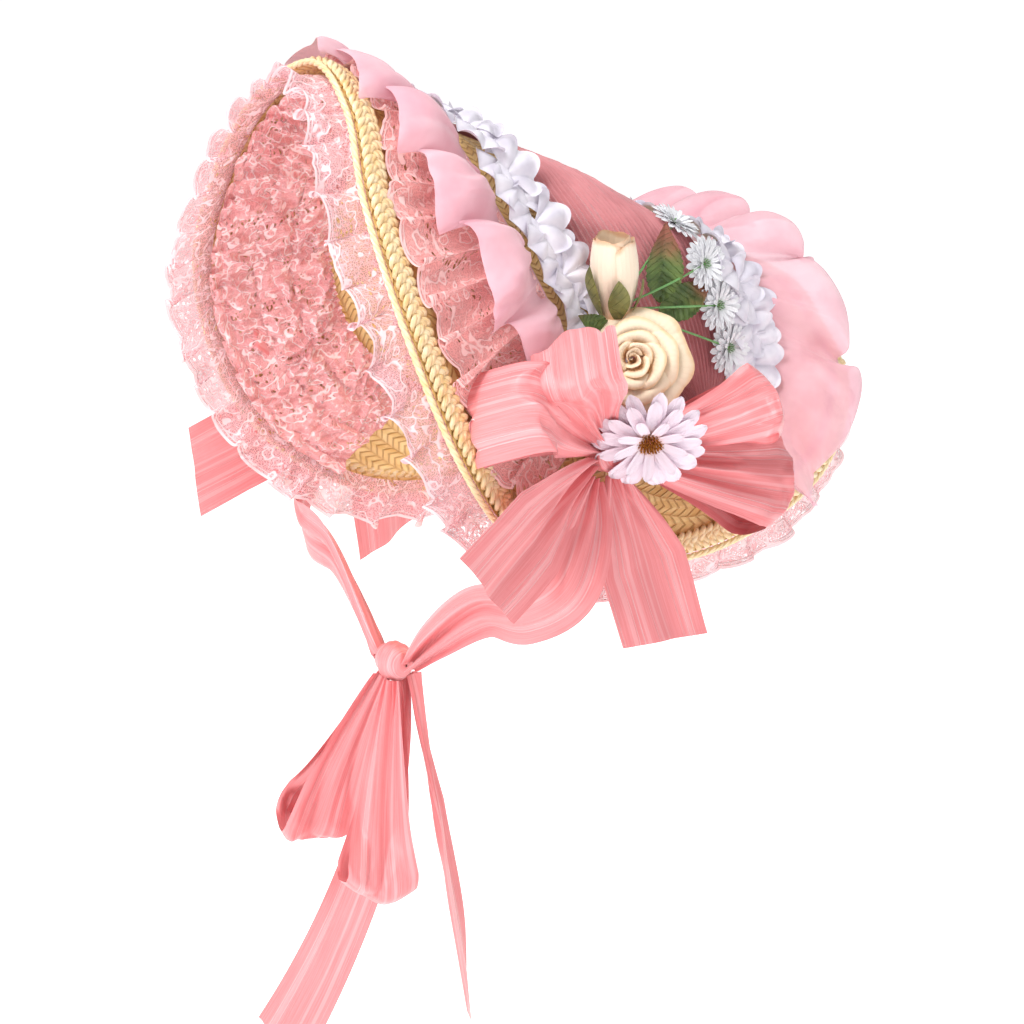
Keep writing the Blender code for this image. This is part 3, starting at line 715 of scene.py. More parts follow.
satin_finish = satin("white_satin", tint(232, 228, 236), tint(206, 200, 214))
for trim_name, node_name, start, end in (
    ("front_satin_petals", "front_petal_trim", -FRONT_PETAL_END, FRONT_PETAL_END),
    ("back_satin_petals", "back_petal_trim", BACK_PETAL_START, 1.0 - BACK_PETAL_START),
):
    piece(trim_name, shell_rows(start, end), satin_finish, node_name, SATIN_WIDTH)


# Chiffon ruffles. Strips of pale pink chiffon with a rolled edge, gathered on
# a thread beside the petals. The front one tips forward over the lace and the
# back one stands up in broad overlapping folds.
RUFFLE_GAP = 0.003
RUFFLE_WIDTH = 0.058
GATHER_LIFT = 0.0042
ROLLED_EDGE = 0.0009
# side, then start and end as turns, folds, height, curl, seed, lap
RUFFLES = (
    ("front", (-0.160, 0.160, 9, 0.026, 1.45, 3, 0.17)),
    ("back", (0.305, 0.695, 8, 0.034, 1.0, 7, 0.32)),
)


def ruffle_cloth(start, end, folds, height, curl, seed, lap):
    """A gathered frill: tight little gathers at the seam open into broad soft
    folds, and lap is how far each fold swings over the next."""
    down, along = grid_of(40, 60 * folds)
    spacing = (end - start) / folds
    turn = start + (end - start) * along
    fold = 2.0 * math.pi * (folds * along + 0.28 * rumple(along * folds * 0.8, 0.0, seed))
    size = 1.0 + 0.35 * rumple(along * folds * 0.9, 5.0, seed)
    reach = reach_length(turn)
    root = (PETAL_OUT + PETAL_WIDTH + RUFFLE_GAP) / reach
    rise = np.sin(0.5 * math.pi * down * curl)
    sweep = RUFFLE_WIDTH / reach * down * (0.88 + 0.09 * np.sin(fold) * size)
    wave = np.cos(fold + 0.6) + 0.35 * np.cos(2.0 * fold + 1.1 + seed)
    lift = height * rise * (0.72 + 0.22 * wave * size)
    lift = lift + GATHER_LIFT * rumple(along * folds * 3.2, down * 2.0, seed + 2) * down
    gathered = along * folds * 11.0 + 0.8 * rumple(along * folds * 5.0, down * 3.0, seed)
    gathers = rumple(gathered, down * 1.4, seed + 4)
    lift = lift + GATHER_LIFT * gathers * np.exp(-1.2 * down) * np.minimum(down * 14.0, 1.0)
    lift = lift * (1.0 - 0.35 * np.exp(-((turn / 0.05) ** 2)))
    sway = np.sin(fold + 0.5) * size + 0.25 * np.sin(2.0 * fold + seed)
    sway = spacing * lap * sway * down**1.3
    roll = ROLLED_EDGE * np.maximum(down - 0.965, 0.0) / 0.035
    return lifted(brim, turn + sway, root + sweep, SEAM_HEIGHT + lift - roll)


pink_chiffon_finish = chiffon("pink_chiffon", tint(242, 188, 200), tint(228, 162, 177), 0.86)
for side, values in RUFFLES:
    piece("%s_chiffon_ruffle" % side, [ruffle_cloth(*values)], pink_chiffon_finish,
          "%s_ruffle" % side, RUFFLE_WIDTH)


# Laces. Salmon corded lace with a scalloped edge: one ruffle lies on the
# brim, one is sewn under the rim and stands past it all round, and the inside
# of the front brim is lined with closely gathered rows.
OUTER_LACE_WIDTH = 0.040
LACE_END = 0.205
LACE_SCALLOP = 0.0240
UNDER_HEIGHT = 0.0024
FRILL_WIDTH = 0.022
FRILL_TUCK = 0.006
LINING_ROWS = 3
LINING_ROW_WIDTH = 0.018
LINING_ROW_GAP = 0.003
LINING_START = 0.010
TIER_WIDTH = 0.010
TIER_WAVE = 0.0145
WHIP_WIDTH = 0.0075
WHIP_WAVE = 0.0062
OUTER_WAVE = 0.020
FRILL_WAVE = 0.021
LINING_END = 0.225


def lace(name, pale, deep, sheer, edging=1.0):
    """Corded lace on net. Down is measured from the scalloped free edge. Sheer
    is how far the net can be seen through, and edging 0 leaves the edge bare."""
    finish = Finish(name)
    along, down = finish.lengths()
    where = finish.vector(along, down)
    bend = finish.noise(where, 120.0, 2.0)
    bent = finish.vector(along + bend * 0.006, down + bend * 0.008)
    net = finish.cells(bent, 820.0, "DISTANCE_TO_EDGE", 0.5)
    scroll = abs((finish.noise(where, 66.0, 2.0, 0.45) * 17.0).wave())
    sprig = abs((finish.noise(bent, 150.0, 1.5, 0.5) * 12.0).wave())
    cords = scroll.step(0.46, 0.16).most(sprig.step(0.34, 0.10) * 0.7)
    thread = net.step(0.22, 0.10)
    edge = down.step(0.0021, 0.0015)
    second = down.step(0.0038, 0.0033) * down.step(0.0026, 0.0030)
    slits = finish.cells(finish.vector(along, down * 1.7), 260.0, "F1", 0.8)
    slit = slits.step(0.37, 0.29) * finish.noise(where, 58.0, 1.0).step(0.50, 0.54)
    closed = edge.most(second) * edging
    hole = ((1.0 - thread) * (1.0 - cords) * sheer).most(slit * (1.0 - cords))
    hole = hole * (1.0 - closed)
    raised = closed.most(cords * 0.85).most(thread * 0.3)
    colour = finish.mix(raised.step(0.1, 0.85), deep, pale)
    finish.paint(
        Base_Color=colour,
        Roughness=0.8,
        Normal=finish.bump(raised + bend * 0.25, 0.0008),
        Sheen_Weight=0.3,
        # Painted glow: the lace gives off a little light in its own colour, standing in for light
        # shining through the thin net.
        Emission_Color=colour,
        Emission_Strength=0.10,
        Alpha=1.0 - hole * 0.97,
    )
    return finish


def scallop_edge(length, pitch):
    """0 in the notches of a scalloped edge and 1 at the tips."""
    return np.abs(np.sin(math.pi * length / pitch)) ** 0.7


def seam_length(turn):
    """Metres along a row of turns at the middle of the brim."""
    return run_length(step_lengths(brim(turn[0], np.full(turn.shape[1], 0.8))))


def lace_strip(rows, columns, end):
    """A strip along the brim, as far as end to each side of the front: its
    share back from the free edge, turns, metres gone and the brim's reach."""
    back, along = grid_of(rows, columns)
    turn = end * (2.0 * along - 1.0)
    return back, turn, seam_length(turn), reach_length(turn)


def waves(length, pitch, drift, rate, seed):
    """Sine and cosine of the folds along a strip, whose pace drifts."""
    pace = length / pitch + drift * rumple(length * rate, 0.0, seed)
    return np.sin(2.0 * math.pi * pace), np.cos(2.0 * math.pi * pace)


def outer_lace_cloth():
    """The ruffle on the brim, from its free edge back to its seam."""
    back, turn, length, reach = lace_strip(28, 820, LACE_END)
    down = 1.0 - back
    free = 1.0 - BARE_EDGE / reach
    root = (PETAL_OUT + PETAL_WIDTH + RUFFLE_GAP + 0.002) / reach
    scallop = scallop_edge(length + 0.004 * rumple(length * 60.0, 0.0, 4), LACE_SCALLOP)
    out = root + (free - root) * down * (0.92 + 0.12 * scallop)
    ruffle, sway = waves(length, OUTER_WAVE, 0.35, 45.0, 5)
    rucks = creases(length * 130.0, down * 3.0 + length * 30.0, 6)
    height = SEAM_HEIGHT + 0.0010 + down**0.8 * (0.0040 * (0.9 + ruffle) + 0.0026 * rucks)
    shift = 0.0042 * down * sway
    return lifted(brim, turn + shift, out, height)


def edge_frill_cloth():
    """The frill under the rim and past it, from its free edge to its seam."""
    back, along = grid_of(22, 1300)
    turn = 0.5 + along
    length = seam_length(turn)
    down = 1.0 - back
    reach = reach_length(turn)
    calm = np.minimum(1.0, 40.0 * np.minimum(along, 1.0 - along))
    scallop = scallop_edge(length, LACE_SCALLOP) * calm
    uneven = 1.0 + 0.10 * rumple(length * 30.0, 0.0, 12) * calm
    past = -FRILL_TUCK + (FRILL_WIDTH + FRILL_TUCK) * down * (0.86 + 0.15 * scallop) * uneven
    ruffle, sway = waves(length, FRILL_WAVE, 0.3, 40.0, 8)
    rucks = creases(length * 140.0, down * 2.0, 9)
    clear_cord = RIM_CORD_RADIUS * 1.15 * np.minimum(1.0, 2.5 * down)
    size = (1.0 + 0.5 * rumple(length * 45.0, 0.0, 13)) * calm
    puff = 0.0050 * (1.0 + ruffle * size) + 0.0036 * rucks * calm
    depth = UNDER_HEIGHT + clear_cord + down * puff
    shift = 0.0034 * down * sway * size
    return lifted(brim, turn + shift, 1.0 + past / reach, -STRAW_WALL - depth)


def lining_tier(start, width, seed):
    """The scalloped heading of one row: a free frill over its gathered seam."""
    back, turn, length, reach = lace_strip(14, 760, LINING_END)
    down = 1.0 - back
    scallop = scallop_edge(length + 0.006 * seed, LACE_SCALLOP * 0.8)
    inward = start - width * down * (0.82 + 0.20 * scallop)
    ruffle, sway = waves(length, TIER_WAVE, 0.5, 50.0, seed)
    rucks = creases(length * 160.0, down * 2.0, seed + 3)
    puff = np.sin(0.5 * math.pi * np.minimum(down * 1.25, 1.0))
    depth = UNDER_HEIGHT + puff * (0.0056 + 0.0022 * ruffle + 0.0030 * rucks)
    shift = 0.0032 * puff * sway
    return lifted(brim, turn + shift, 1.0 - inward / reach, -STRAW_WALL - depth)


def ruched_band(start, width, seed):
    """Lace gathered on both its edges, so that it puffs in broken creases."""
    down, turn, length, reach = lace_strip(30, 820, LINING_END)
    inward = start + width * down
    puff = 0.45 + 0.55 * np.sin(math.pi * (0.04 + 0.92 * down)) ** 0.7
    slant = length * 170.0 + down * 2.6 * rumple(length * 18.0, 0.0, seed + 8)
    rucks = creases(slant, down * 1.8, seed)
    small = creases(length * 240.0, down * 5.0 + length * 60.0, seed + 2)
    swell = 0.8 + 0.4 * rumple(length * 34.0, down * 1.5, seed + 5)
    depth = UNDER_HEIGHT - 0.0006 + puff * (0.0020 + 0.0074 * rucks * swell + 0.0018 * small)
    return lifted(brim, turn, 1.0 - inward / reach, -STRAW_WALL - depth)


def lining_whip():
    """The tight little ruffle that ends the lining towards the crown."""
    back, turn, length, reach = lace_strip(8, 1100, LINING_END)
    start = LINING_START + LINING_ROWS * (LINING_ROW_WIDTH + LINING_ROW_GAP) - 0.007
    ruffle, sway = waves(length, WHIP_WAVE, 0.4, 90.0, 11)
    depth = UNDER_HEIGHT + back * (0.0030 + 0.0026 * ruffle)
    shift = 0.0019 * back * sway
    out = 1.0 - (start + WHIP_WIDTH * back) / reach
    return lifted(brim, turn + shift, out, -STRAW_WALL - depth)


lace_finish = lace("salmon_lace", tint(253, 206, 203), tint(240, 161, 158), 0.12)
rim_lace_finish = lace("rim_net_lace", tint(252, 218, 222), tint(236, 172, 178), 0.60)
lining_finish = lace("lining_lace", tint(254, 219, 220), tint(240, 162, 164), 0.08, 0.0)

piece("brim_lace", [outer_lace_cloth()], lace_finish, "outer_lace",
      OUTER_LACE_WIDTH)
piece("rim_lace", [edge_frill_cloth()], rim_lace_finish, "edge_frill",
      FRILL_WIDTH + FRILL_TUCK)
for row in range(LINING_ROWS):
    start = LINING_START + row * (LINING_ROW_WIDTH + LINING_ROW_GAP)
    tiers = [ruched_band(start - 0.002, LINING_ROW_WIDTH + 0.005, 30 + row)]
    if row == 0:
        tiers.append(lining_tier(start + 0.003, TIER_WIDTH, 20))
    if row == LINING_ROWS - 1:
        tiers.append(lining_whip())
    piece("lining_row_%d" % (row + 1), tiers, lining_finish,
          "lining_lace_%d" % (row + 1), LINING_ROW_WIDTH)


# Ribbon bows and ties. Salmon slub ribbon, 54 mm wide, is looped and bound
# with a knot over each ear. A tie of the same ribbon runs from each bow to the
# chin, where both are tied in a bow with two long slanted ends.
RIBBON_WIDTH = 0.054
RIBBON_PINCH = 0.009
LAYER_GAP = 0.0016
GATHER_DEPTH = 0.0050
LOOP_RUCK = 0.0062
LOOP_DENT = 0.0066
TAIL_ROLL = 0.0026
TAIL_WAVE = 0.0036
TAIL_RUCK = 0.0016
STRAP_RUCK = 0.0030
BOW_TURN = 0.215
BOW_OUT = 0.46
BOW_KNOT_RADIUS = 0.011
BOW_KNOT_DEPTH = 0.0118
KNOT_GAP = 0.0007
BOW_LOOP_LENGTH = 0.090
BOW_LOOP_OPENING = 0.016
BOW_TAIL_LENGTH = 0.092
STRAP_WIDTH = 0.038
STRAP_SEAT = 0.0026
CHIN_DROP = 0.252
CHIN_FORWARD = 0.101
CHIN_KNOT_RADIUS = 0.012
CHIN_LOOP_LENGTH = 0.112
CHIN_TAIL_LENGTH = 0.215
CHIN_LOOP_WIDTH = 0.040
CHIN_LOOP_OPENING = 0.011
CHIN_TAIL_WIDTH = 0.034
CHIN_CUT_SLANT = 0.6
# Bow pieces: rise and lean in degrees, then shares of the named sizes
#    piece,             rise, lean, length, width, opening, lift, tilt
BOW_LOOPS = (
    ("front_high_loop", 52.0, 24.0, 0.88, 0.84, 1.10, 0.22, 0.75),
    ("front_loop", 25.0, 15.5, 0.96, 0.90, 1.20, -0.05, -0.50),
    ("back_high_loop", 160.0, 30.0, 0.92, 0.72, 1.05, 0.12, 0.60),
    ("back_loop", 197.0, 14.0, 1.06, 0.95, 0.95, -0.10, 0.35),
)
#    piece,       rise,  lean, length, slant
BOW_TAILS = (
    ("front_tail", -26.0, 18.0, 1.18, 0.30),
    ("down_tail", 257.0, 12.0, 1.04, -0.25),
)
# The tie's way from side bow to chin knot: shares of the span, then width
STRAP_ROUTE = (
    (-0.03, 0.16, 0.10, 0.26),
    (-0.14, 0.36, 0.26, 0.80),
    (-0.21, 0.66, 0.47, 1.00),
    (0.00, 0.86, 0.60, 0.95),
    (0.38, 0.90, 0.66, 0.80),
    (0.75, 0.97, 0.84, 0.55),
    (1.00, 1.00, 1.00, 0.24),
)
# Chin bow: side of the knot, then for a loop its aim and length share, for a
# tail the way its width lies, its aim, how far its end has drifted and its
# length share
CHIN_LOOPS = (
    ("chin_right_loop", (-0.50, -0.34, -0.80), (-0.36, -0.23, -0.90), 0.97),
    ("chin_left_loop", (0.42, -0.36, -0.85), (0.20, -0.24, -0.95), 1.08),
)
CHIN_TAILS = (
    ("chin_right_tail", (-0.30, 0.62, -0.75), (0.90, 0.30), (-0.12, 0.08, -1.00),
     (-0.10, -0.34, 0.05), 1.12),
    ("chin_left_tail", (0.50, 0.62, -0.70), (0.78, -0.63), (0.13, 0.14, -0.90),
     (0.0, -0.04, 0.0), 0.92),
)


def slub_ribbon(name, pale, mid, deep):
    """Slub ribbon: uneven lengthwise threads, pale stripes and fine creases."""
    finish = Finish(name)
    along, across = finish.lengths()
    broad = finish.noise(finish.vector(along * 0.3, across * 170.0), 1.0, 2.0)
    fine = finish.noise(finish.vector(along * 0.3, across * 640.0, 4.0), 1.0, 1.0)
    slub = finish.noise(finish.vector(along * 30.0, across * 1500.0), 1.0, 3.0)
    crease = finish.noise(finish.vector(along * 55.0, across * 40.0), 1.0, 4.0)
    stripe = broad.step(0.54, 0.58)
    line = fine.step(0.62, 0.66)
    colour = finish.mix(slub.step(0.30, 0.75) * 0.6 + broad * 0.4, deep, mid)
    colour = finish.mix(stripe * 0.26 + line * 0.50, colour, pale)
    finish.paint(
        Base_Color=colour,
        Roughness=0.34 + slub * 0.16,
        Normal=finish.bump(slub * 0.3 + line * 0.5 + crease * 1.2, 0.0006, 0.8),
        Sheen_Weight=0.30,
        Sheen_Roughness=0.35,
    )
    return finish


ribbon_finish = slub_ribbon(
    "salmon_ribbon", tint(250, 206, 210), tint(243, 158, 161), tint(229, 124, 127)
)


def gather_folds(across, along, width, flat, seed, folds):
    """Height of the uneven lengthwise folds of a flat width when pinched."""
    spare = np.sqrt(np.clip(flat**2 - width**2, 0.0, None)) / flat
    lean = (across - 0.5) * 2.0
    bend = 0.55 * rumple(along * 2.2, lean * 1.3, seed)
    pleat = np.cos(math.pi * folds * (lean + bend * spare) + seed * 1.7)
    uneven = 0.45 + 0.9 * np.abs(rumple(lean * 1.7, 0.4, seed + 1))
    soft = 0.6 * rumple(lean * 2.3, along * 1.5, seed + 5)
    edge = 1.0 - 0.35 * np.abs(lean) ** 3
    return GATHER_DEPTH * spare**1.6 * (0.8 * pleat * uneven + soft) * edge


def ribbon_frame(aim, across):
    aim = unit(np.array(aim, float))
    across = np.array(across, float)
    across = unit(across - aim * np.dot(across, aim))
    return aim, across, np.cross(across, aim)


def loop_cloth(base, aim, across, length, width, opening, seed, tilt, folds=2.2):
    """A loop: out from its pinched base and back under itself, crumpled, and
    turned by its tilt so that one edge stands off."""
    aim, across, face = ribbon_frame(aim, across)
    side, along = grid_of(40, 100)
    swell = np.sin(math.pi * along)
    out = 1.0 - np.abs(2.0 * along - 1.0) ** 2.6
    roll = np.sin(2.0 * math.pi * along) * (1.0 + 1.5 * out**3)
    layer = 0.5 * opening * roll + LAYER_GAP * (1.0 - 2.0 * along)
    wide = RIBBON_PINCH + (width - RIBBON_PINCH) * np.minimum(1.0, 1.25 * swell) ** 0.8
    lean = (side - 0.5) * 2.0
    cup = width * swell * (0.17 * lean**2 + 0.12 * rumple(lean * 1.5, 0.0, seed))
    under = np.tanh((0.5 - along) * 9.0)
    fold = gather_folds(side, along, wide, width * 1.10, seed, folds) * under
    ruck = creases(lean * 1.5 + 9.0, along * 5.0, seed + 2) - 0.5
    dent = LOOP_RUCK * ruck * swell**0.6 + LOOP_DENT * rumple(along * 4.0, lean * 1.3, seed) * swell
    dent = dent + 0.0010 * rumple(along * 24.0, lean * 5.0, seed + 3) * swell
    reach = lean * 0.5 * wide
    stand = layer + fold + dent
    turned = tilt * out
    point = base + aim * (length * out - cup + 0.06 * reach * math.sin(seed))[..., None]
    point = point + face * (stand * np.cos(turned) + reach * np.sin(turned))[..., None]
    return point + across * (reach * np.cos(turned) - stand * np.sin(turned))[..., None]


def tail_cloth(base, aim, across, length, width, slant, droop, seed):
    """A flat end: pinched at its base and cut on a slant at its tip."""
    aim, across, face = ribbon_frame(aim, across)
    side, along = grid_of(40, 100)
    wide = RIBBON_PINCH + (width - RIBBON_PINCH) * np.minimum(1.0, along / 0.55) ** 0.8
    lean = (side - 0.5) * 2.0
    gone = length * along + slant * width * 0.5 * lean * along**3
    fold = gather_folds(side, along, wide, width * 1.10, seed, 2.2)
    soft = np.cos(math.pi * lean + 0.6 * seed) * np.sin(math.pi * np.minimum(along * 0.85, 1.0))
    soft = TAIL_ROLL * soft
    wave = TAIL_WAVE * rumple(along * 3.0, lean * 0.8, seed) * along
    ruck = TAIL_RUCK * (creases(lean * 1.4, along * 2.2, seed) - 0.5) * along**0.5
    point = base + aim * gone[..., None] + face * (fold + soft + wave + ruck)[..., None]
    point = point + np.array(droop) * (along**1.7)[..., None]
    return point + across * (0.5 * lean * wide)[..., None]


def knot_cloth(centre, radii, seed):
    """A wrapped knot: a barrel with the ribbon's creases running round it."""
    rise, turn = grid_of(28, 49)
    polar = math.pi * (0.02 + 0.96 * rise)
    angle = 2.0 * math.pi * turn
    wander = 1.5 * np.sin(2.0 * angle + seed)
    crease = 1.0 + 0.055 * np.cos(11.0 * polar + wander) * np.sin(polar)
    crease = crease - 0.05 * np.exp(-((np.sin(angle * 0.5 + seed) / 0.10) ** 2))
    unit_ball = np.stack((
        np.cos(polar),
        np.sin(polar) * np.cos(angle),
        np.sin(polar) * np.sin(angle),
    ), axis=2)
    return np.array(centre) + unit_ball * crease[..., None] * np.array(radii)


def at_knot(centre, radii, way):
    """Where a ribbon leaves a knot on a given side, just clear of it."""
    way = unit(np.array(way, float))
    return centre + way * (1.0 / np.linalg.norm(way / radii) + KNOT_GAP)


def ribbon_piece(name, grid, node_name, width):
    length = float(step_lengths(grid, 1).mean(axis=0).sum())
    piece(name, [grid], ribbon_finish, node_name, width,
          cut=(length, width))


def bow_way(side, rise, lean):
    """Aim and across of a bow piece: rise turns it up from straight ahead,
    lean turns it away from the hat."""
    rise = math.radians(rise)
    lean = math.radians(lean)
    ahead = np.array((0.0, -math.cos(rise), math.sin(rise)))
    across = np.array((0.0, math.sin(rise), math.cos(rise)))
    return ahead * math.cos(lean) + np.array((side * math.sin(lean), 0.0, 0.0)), across * side


def bow_centre(side):
    seat = lifted(brim, np.array(BOW_TURN), np.array(BOW_OUT), BOW_KNOT_DEPTH + SEAM_GAP)
    return seat * np.array((side, 1.0, 1.0))


def side_bow(side, word):
    """Four loops, two cut ends and a knot, over one ear."""
    centre = bow_centre(side)
    radii = np.array((BOW_KNOT_DEPTH, BOW_KNOT_RADIUS, BOW_KNOT_RADIUS))
    knot_name = "%s_bow_knot" % word
    piece("%s_knot_wrap" % word, [knot_cloth(centre, radii, 1.0)], ribbon_finish,
          knot_name)
    for number, (part, rise, lean, long, wide, opening, lift, tilt) in enumerate(BOW_LOOPS):
        aim, across = bow_way(side, rise, lean)
        base = at_knot(centre, radii, aim + np.array((side * lift, 0.0, 0.0)))
        grid = loop_cloth(base, aim, across, BOW_LOOP_LENGTH * long, RIBBON_WIDTH * wide,
                          BOW_LOOP_OPENING * opening, number + 1.0, tilt)
        name = "%s_ribbon_%s" % (word, part)
        ribbon_piece(name, grid, "%s_bow_%s" % (word, part), RIBBON_WIDTH * wide)
    for number, (part, rise, lean, long, slant) in enumerate(BOW_TAILS):
        aim, across = bow_way(side, rise, lean)
        base = at_knot(centre, radii, aim)
        grid = tail_cloth(base, aim, across, BOW_TAIL_LENGTH * long, RIBBON_WIDTH, slant,
                          (0.0, 0.0, 0.0), number + 6.0)
        name = "%s_ribbon_%s" % (word, part)
        ribbon_piece(name, grid, "%s_bow_%s" % (word, part), RIBBON_WIDTH)


def strap_cloth(side):
    """The tie from a side bow, over the rim and down to the chin knot."""
    start = bow_centre(side)
    end = np.array((side * (CHIN_KNOT_RADIUS + STRAP_SEAT), -CHIN_FORWARD, -CHIN_DROP))
    route = np.array(STRAP_ROUTE)
    stations = np.hstack((start + (end - start) * route[:, :3], route[:, 3:]))
    padded = np.vstack((stations[:1], stations, stations[-1:]))
    across_share, along = grid_of(22, 120)
    place = along[0] * (len(stations) - 1)
    first = np.minimum(place.astype(int), len(stations) - 2)
    line = between(*(padded[first + step] for step in range(4)), (place - first)[:, None])
    centre, wide = line[:, :3], line[:, 3] * STRAP_WIDTH
    near = np.array((side, -0.2, 0.0))
    far = np.array((side * 0.35, -1.0, -0.1))
    looks = near + (far - near) * along[0][:, None]
    ahead = unit(np.gradient(centre, axis=0))
    across = unit(np.cross(ahead, looks))
    face = np.cross(across, ahead)
    lean = (across_share - 0.5) * 2.0
    fold = gather_folds(across_share, along, wide, STRAP_WIDTH * 1.12, 4.0, 2.0)
    ruck = STRAP_RUCK * (creases(lean * 1.3, along * 2.6, 17) - 0.5)
    fold = fold + ruck * np.sin(math.pi * along)
    return centre + across * ((across_share - 0.5) * wide)[..., None] + face * fold[..., None]


for side, word in ((1.0, "left"), (-1.0, "right")):
    side_bow(side, word)
    node_name = "%s_chin_strap" % word
    ribbon_piece("%s_tie" % word, strap_cloth(side), node_name, STRAP_WIDTH)

chin_centre = np.array((0.0, -CHIN_FORWARD, -CHIN_DROP))
chin_radii = CHIN_KNOT_RADIUS * np.array((1.0, 0.8, 0.9))
piece("chin_knot_wrap", [knot_cloth(chin_centre, chin_radii, 2.4)], ribbon_finish,
      "chin_knot")
for number, (node_name, start, aim, long) in enumerate(CHIN_LOOPS):
    grid = loop_cloth(at_knot(chin_centre, chin_radii, start), aim, (0.85, 0.50, 0.0),
                      CHIN_LOOP_LENGTH * long, CHIN_LOOP_WIDTH, CHIN_LOOP_OPENING * 1.5,
                      number + 11.0, 0.70, 1.5)
    ribbon_piece("%s_ribbon" % node_name, grid, node_name, CHIN_LOOP_WIDTH)
for number, (node_name, start, wide, aim, droop, long) in enumerate(CHIN_TAILS):
    grid = tail_cloth(at_knot(chin_centre, chin_radii, start), aim, (*wide, 0.0),
                      CHIN_TAIL_LENGTH * long, CHIN_TAIL_WIDTH, CHIN_CUT_SLANT,
                      np.array(droop) * CHIN_TAIL_LENGTH, number + 15.0)
    ribbon_piece("%s_ribbon" % node_name, grid, node_name, CHIN_TAIL_WIDTH)


# Rose. Cream silk petals, stiffened and curled at the rim, wound in a spiral
# round a furled heart and glued at the foot.
ROSE_RADIUS = 0.027
ROSE_PLACE = (0.190, 0.15, 0.0295)
ROSE_FACING = (0.80, -0.55, 0.26)
# ring: petals, foot radius, lip radius, height, half width in degrees, curl
ROSE_RINGS = (
    (1, 0.00, 0.06, 0.58, 175.0, 0.00),
    (2, 0.05, 0.17, 0.62, 100.0, 0.02),
    (3, 0.14, 0.34, 0.66, 72.0, 0.07),
    (3, 0.22, 0.55, 0.64, 74.0, 0.14),
    (4, 0.30, 0.78, 0.50, 58.0, 0.22),
    (5, 0.36, 1.00, 0.26, 48.0, 0.28),
)


def flower_axes(facing):
    """The way a flower faces, and two directions across it."""
    facing = unit(np.array(facing, float))
    right = unit(np.cross(facing, (0.0, 0.0, 1.0)))
    return facing, right, np.cross(right, facing)


def opened(centre, axes, angle, out, rise):
    """Points at angles round a flower's axis, so far out and so far up it."""
    axis, right, up = axes
    spread = right * np.cos(angle)[..., None] + up * np.sin(angle)[..., None]
    return centre + spread * out[..., None] + axis * rise[..., None]


def on_brim(place):
    """A point on the brim: its turn, how far out, and its height."""
    return lifted(brim, *(np.array(value) for value in place))


def rose_petal(centre, axes, radius, foot, lip, height, middle, half, curl, seed):
    """One petal: its foot near the axis, its lip opened and rolled over, and
    one side tucked under its neighbour."""
    down, lean = leaned_grid(20, 23)
    angle = middle + lean * half * (0.50 + 0.50 * np.sin(math.pi * 0.5 * down))
    lobe = 1.0 - 0.30 * np.abs(lean) ** 2.6 * down
    lobe = lobe + 0.05 * np.exp(-((lean - 0.2 * math.sin(seed)) / 0.3) ** 2) * down**3
    out = foot + (lip - foot) * down**1.3 * (1.0 - 0.20 * np.abs(lean) ** 2.4)
    out = out + 0.055 * lean * down + 0.022 * rumple(lean * 2.2, down * 2.0, seed) * down
    over = np.maximum(down - 0.80, 0.0) / 0.20
    out = out + curl * (0.30 * over**1.5 + 0.10 * over * np.sin(6.0 * lean + seed))
    rise = height * (np.sin(0.5 * math.pi * down * 0.96) ** 0.8 * lobe) - 0.55 * curl * over**2
    rise = rise + 0.020 * rumple(lean * 3.0, down * 2.0, seed + 4) * down**2
    heart = centre + radius * 0.16 * (1.0 - lip) * (axes[1] * 0.8 + axes[2] * 0.6)
    return opened(heart, axes, angle, radius * out, radius * (rise - 0.24))


def rose_petals(centre, facing, radius, rings):
    axes = flower_axes(facing)
    grids = []
    for ring, (count, foot, lip, height, half, curl) in enumerate(rings):
        for number in range(count):
            middle = 2.0 * math.pi * (number + 0.12 * math.sin(number * 4.1)) / count
            middle = middle + 1.1 * ring
            grids.append(rose_petal(centre, axes, radius, foot, lip, height, middle,
                                    math.radians(half), curl, ring * 3.0 + number))
    return grids


PETAL_CUT = (0.030, 0.020)


def silk_petals(name, body, foot_dye_and_shade, edge_tone, foot_end, vein_pitch):
    """Silk petal: deeper at the foot, partly dyed and partly painted shade where the petals close
    over each other, with a tinged edge and faint veins.
    """
    finish = Finish(name)
    along, down = finish.lengths()
    share = down / PETAL_CUT[1]
    vein = abs((along * (math.pi / vein_pitch)).wave())
    cloud = finish.noise(finish.place(), 110.0, 3.0)
    weave = finish.noise(finish.place(), 1400.0, 1.0)
    # Deeper towards the foot: partly the dye and partly painted shade where the petals close over
    # each other.
    tone = (share + cloud * 0.25).step(foot_end + 0.38, foot_end)
    colour = finish.mix(tone, body, foot_dye_and_shade)
    colour = finish.mix((share + cloud * 0.14).step(0.99, 1.07) * 0.8, colour, edge_tone)
    finish.paint(
        Base_Color=colour,
        Roughness=0.62,
        Normal=finish.bump(vein * 0.25 + cloud * 0.6 + weave * 0.25, 0.0005, 0.8),
        Sheen_Weight=0.25,
    )
    return finish


cream_finish = silk_petals(
    "cream_silk", tint(251, 231, 202), tint(236, 190, 136), tint(244, 204, 152), 0.48, 0.0022
)
rose_grids = rose_petals(on_brim(ROSE_PLACE), ROSE_FACING, ROSE_RADIUS, ROSE_RINGS)
piece("rose_bloom", rose_grids, cream_finish, "rose_petals rose_heart",
      cut=PETAL_CUT)


# Rosebud. Furled cream petals stand in a green cup of pointed sepals on a
# short stem behind the rose.
BUD_LENGTH = 0.044
BUD_RADIUS = 0.0115
BUD_PLACE = (0.170, 0.05, 0.0168)
BUD_AXIS = (0.10, -0.12, 1.0)
BUD_STEM_RADIUS = 0.0016
SEPAL_COUNT = 5
VEIN_PITCH = 0.0042
